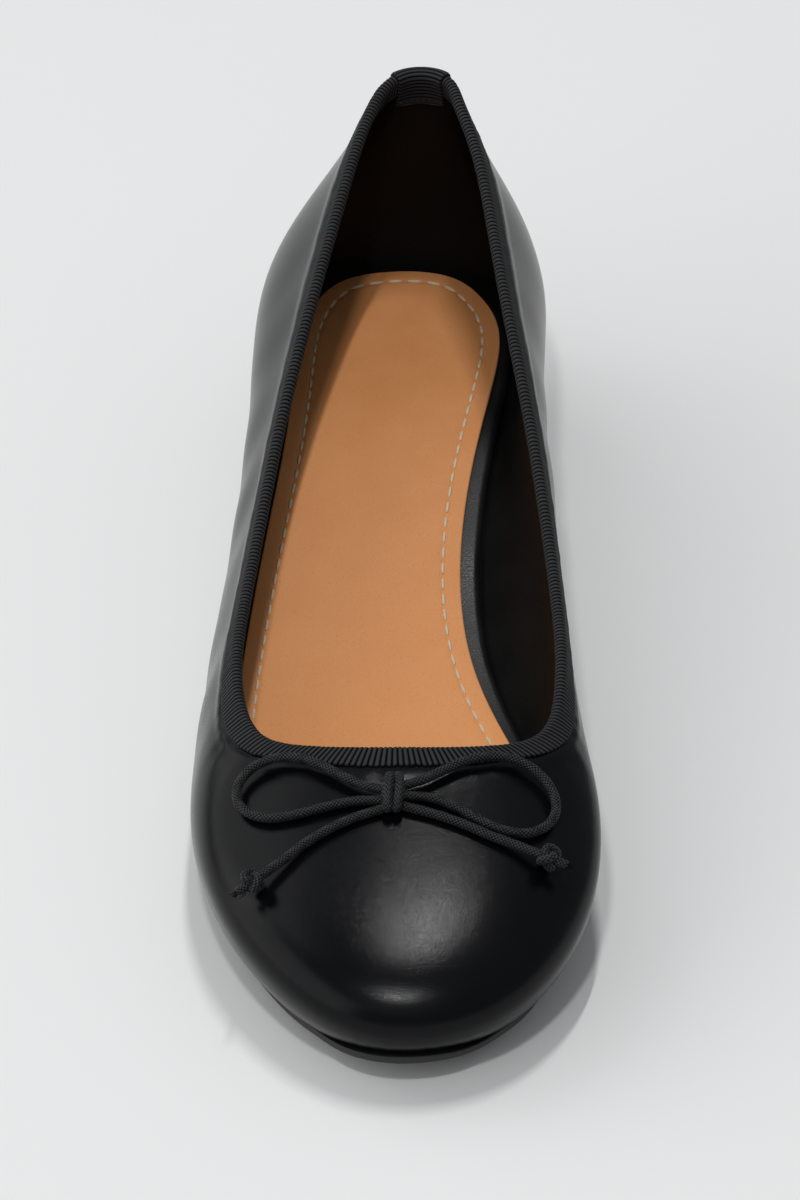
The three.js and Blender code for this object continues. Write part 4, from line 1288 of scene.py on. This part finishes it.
class FLAT_OT_stage(bpy.types.Operator):
    """Makes the pale floor, the soft studio lights and the camera"""

    bl_idname = "flat.stage"
    bl_label = "Floor, lights and camera"

    def execute(self, context):
        kit = context.scene.flat_stage
        scene = context.scene
        scene.view_settings.view_transform = "Standard"
        scene.view_settings.look = "None"
        floor = bpy.data.meshes.new("floor")
        corners = [(x * FLOOR_HALF, y * FLOOR_HALF, -FLOOR_DROP)
                   for x, y in ((-1, -1), (1, -1), (1, 1), (-1, 1))]
        floor.from_pydata(corners, [], [(0, 1, 2, 3)])
        ground = bpy.data.objects.new("floor", floor)
        scene.collection.objects.link(ground)
        material, tree, shader = blank_material("pale_floor", 0.75, 0.2)
        shader.inputs["Base Color"].default_value = kit.floor
        floor.materials.append(material)
        world = bpy.data.worlds.new("studio")
        world.use_nodes = True
        sky = world.node_tree.nodes["Background"]
        sky.inputs["Color"].default_value = (0.955, 0.975, 1.0, 1.0)
        sky.inputs["Strength"].default_value = 0.3
        scene.world = world
        for name, toward, distance, sides, power in LIGHTS:
            place = LIGHTS_AIM + Vector(toward).normalized() * distance
            light = bpy.data.lights.new(name, "AREA")
            light.shape = "RECTANGLE"
            light.size, light.size_y = sides
            light.energy = power
            lamp = bpy.data.objects.new(name, light)
            lamp.location = place
            lamp.rotation_mode = "QUATERNION"
            lamp.rotation_quaternion = (LIGHTS_AIM - place).to_track_quat("-Z", "Y")
            scene.collection.objects.link(lamp)
        self.camera(scene, kit)
        return {"FINISHED"}

    def camera(self, scene, kit):
        """The camera stands where the photograph was taken from. It is turned to face the shoe,
        and rolled so that the shoe leans in the frame as it did beside its pair."""
        upward = Vector((0.0, math.sin(CAMERA_PITCH), math.cos(CAMERA_PITCH)))
        forward = (CAMERA_AIM - CAMERA_PLACE).normalized()
        side = Vector((1.0, 0.0, 0.0))
        level = (side - forward * side.dot(forward)).normalized()
        lifted = (upward - forward * upward.dot(forward)).normalized()
        level = (level + forward.cross(lifted)).normalized()
        lifted = level.cross(forward)
        data = bpy.data.cameras.new("camera")
        data.sensor_width = 36.0
        data.sensor_fit = "HORIZONTAL"
        data.lens = kit.lens
        data.clip_start, data.clip_end = 0.05, 50.0
        camera = bpy.data.objects.new("camera", data)
        turn = Matrix((level, lifted, -forward)).transposed()
        camera.rotation_mode = "QUATERNION"
        camera.rotation_quaternion = turn.to_quaternion()
        camera.location = CAMERA_PLACE
        scene.collection.objects.link(camera)
        scene.camera = camera


class FLAT_PT_panel(bpy.types.Panel):
    """Lists the pieces of the shoe."""

    bl_idname = "FLAT_PT_panel"
    bl_label = "Ballet flat"
    bl_space_type = "VIEW_3D"
    bl_region_type = "UI"
    bl_category = "Ballet flat"

    def draw(self, context):
        layout = self.layout
        for step in STEPS:
            layout.operator(step.bl_idname)
        for name in SETTINGS:
            box = layout.box()
            kit = getattr(context.scene, name)
            for key in kit.bl_rna.properties.keys():
                if key not in ("rna_type", "name"):
                    box.prop(kit, key)


SETTINGS = {
    "flat_leather": FlatLeather,
    "flat_ribbon": FlatRibbon,
    "flat_sock": FlatSock,
    "flat_cord": FlatCord,
    "flat_stage": FlatStage,
}
STEPS = [FLAT_OT_stage, FLAT_OT_bow, FLAT_OT_upper, FLAT_OT_ribbon, FLAT_OT_bottom, FLAT_OT_inside]


def register():
    for name, kit in SETTINGS.items():
        bpy.utils.register_class(kit)
        setattr(bpy.types.Scene, name, bpy.props.PointerProperty(type=kit))
    for step in STEPS + [FLAT_PT_panel]:
        bpy.utils.register_class(step)


def unregister():
    for step in reversed(STEPS + [FLAT_PT_panel]):
        bpy.utils.unregister_class(step)
    for name, kit in reversed(SETTINGS.items()):
        delattr(bpy.types.Scene, name)
        bpy.utils.unregister_class(kit)


def main():
    """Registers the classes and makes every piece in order."""
    register()
    bpy.ops.flat.stage()
    bpy.ops.flat.bow()
    bpy.ops.flat.upper()
    bpy.ops.flat.ribbon()
    bpy.ops.flat.bottom()
    bpy.ops.flat.inside()


if __name__ == "__main__":
    main()
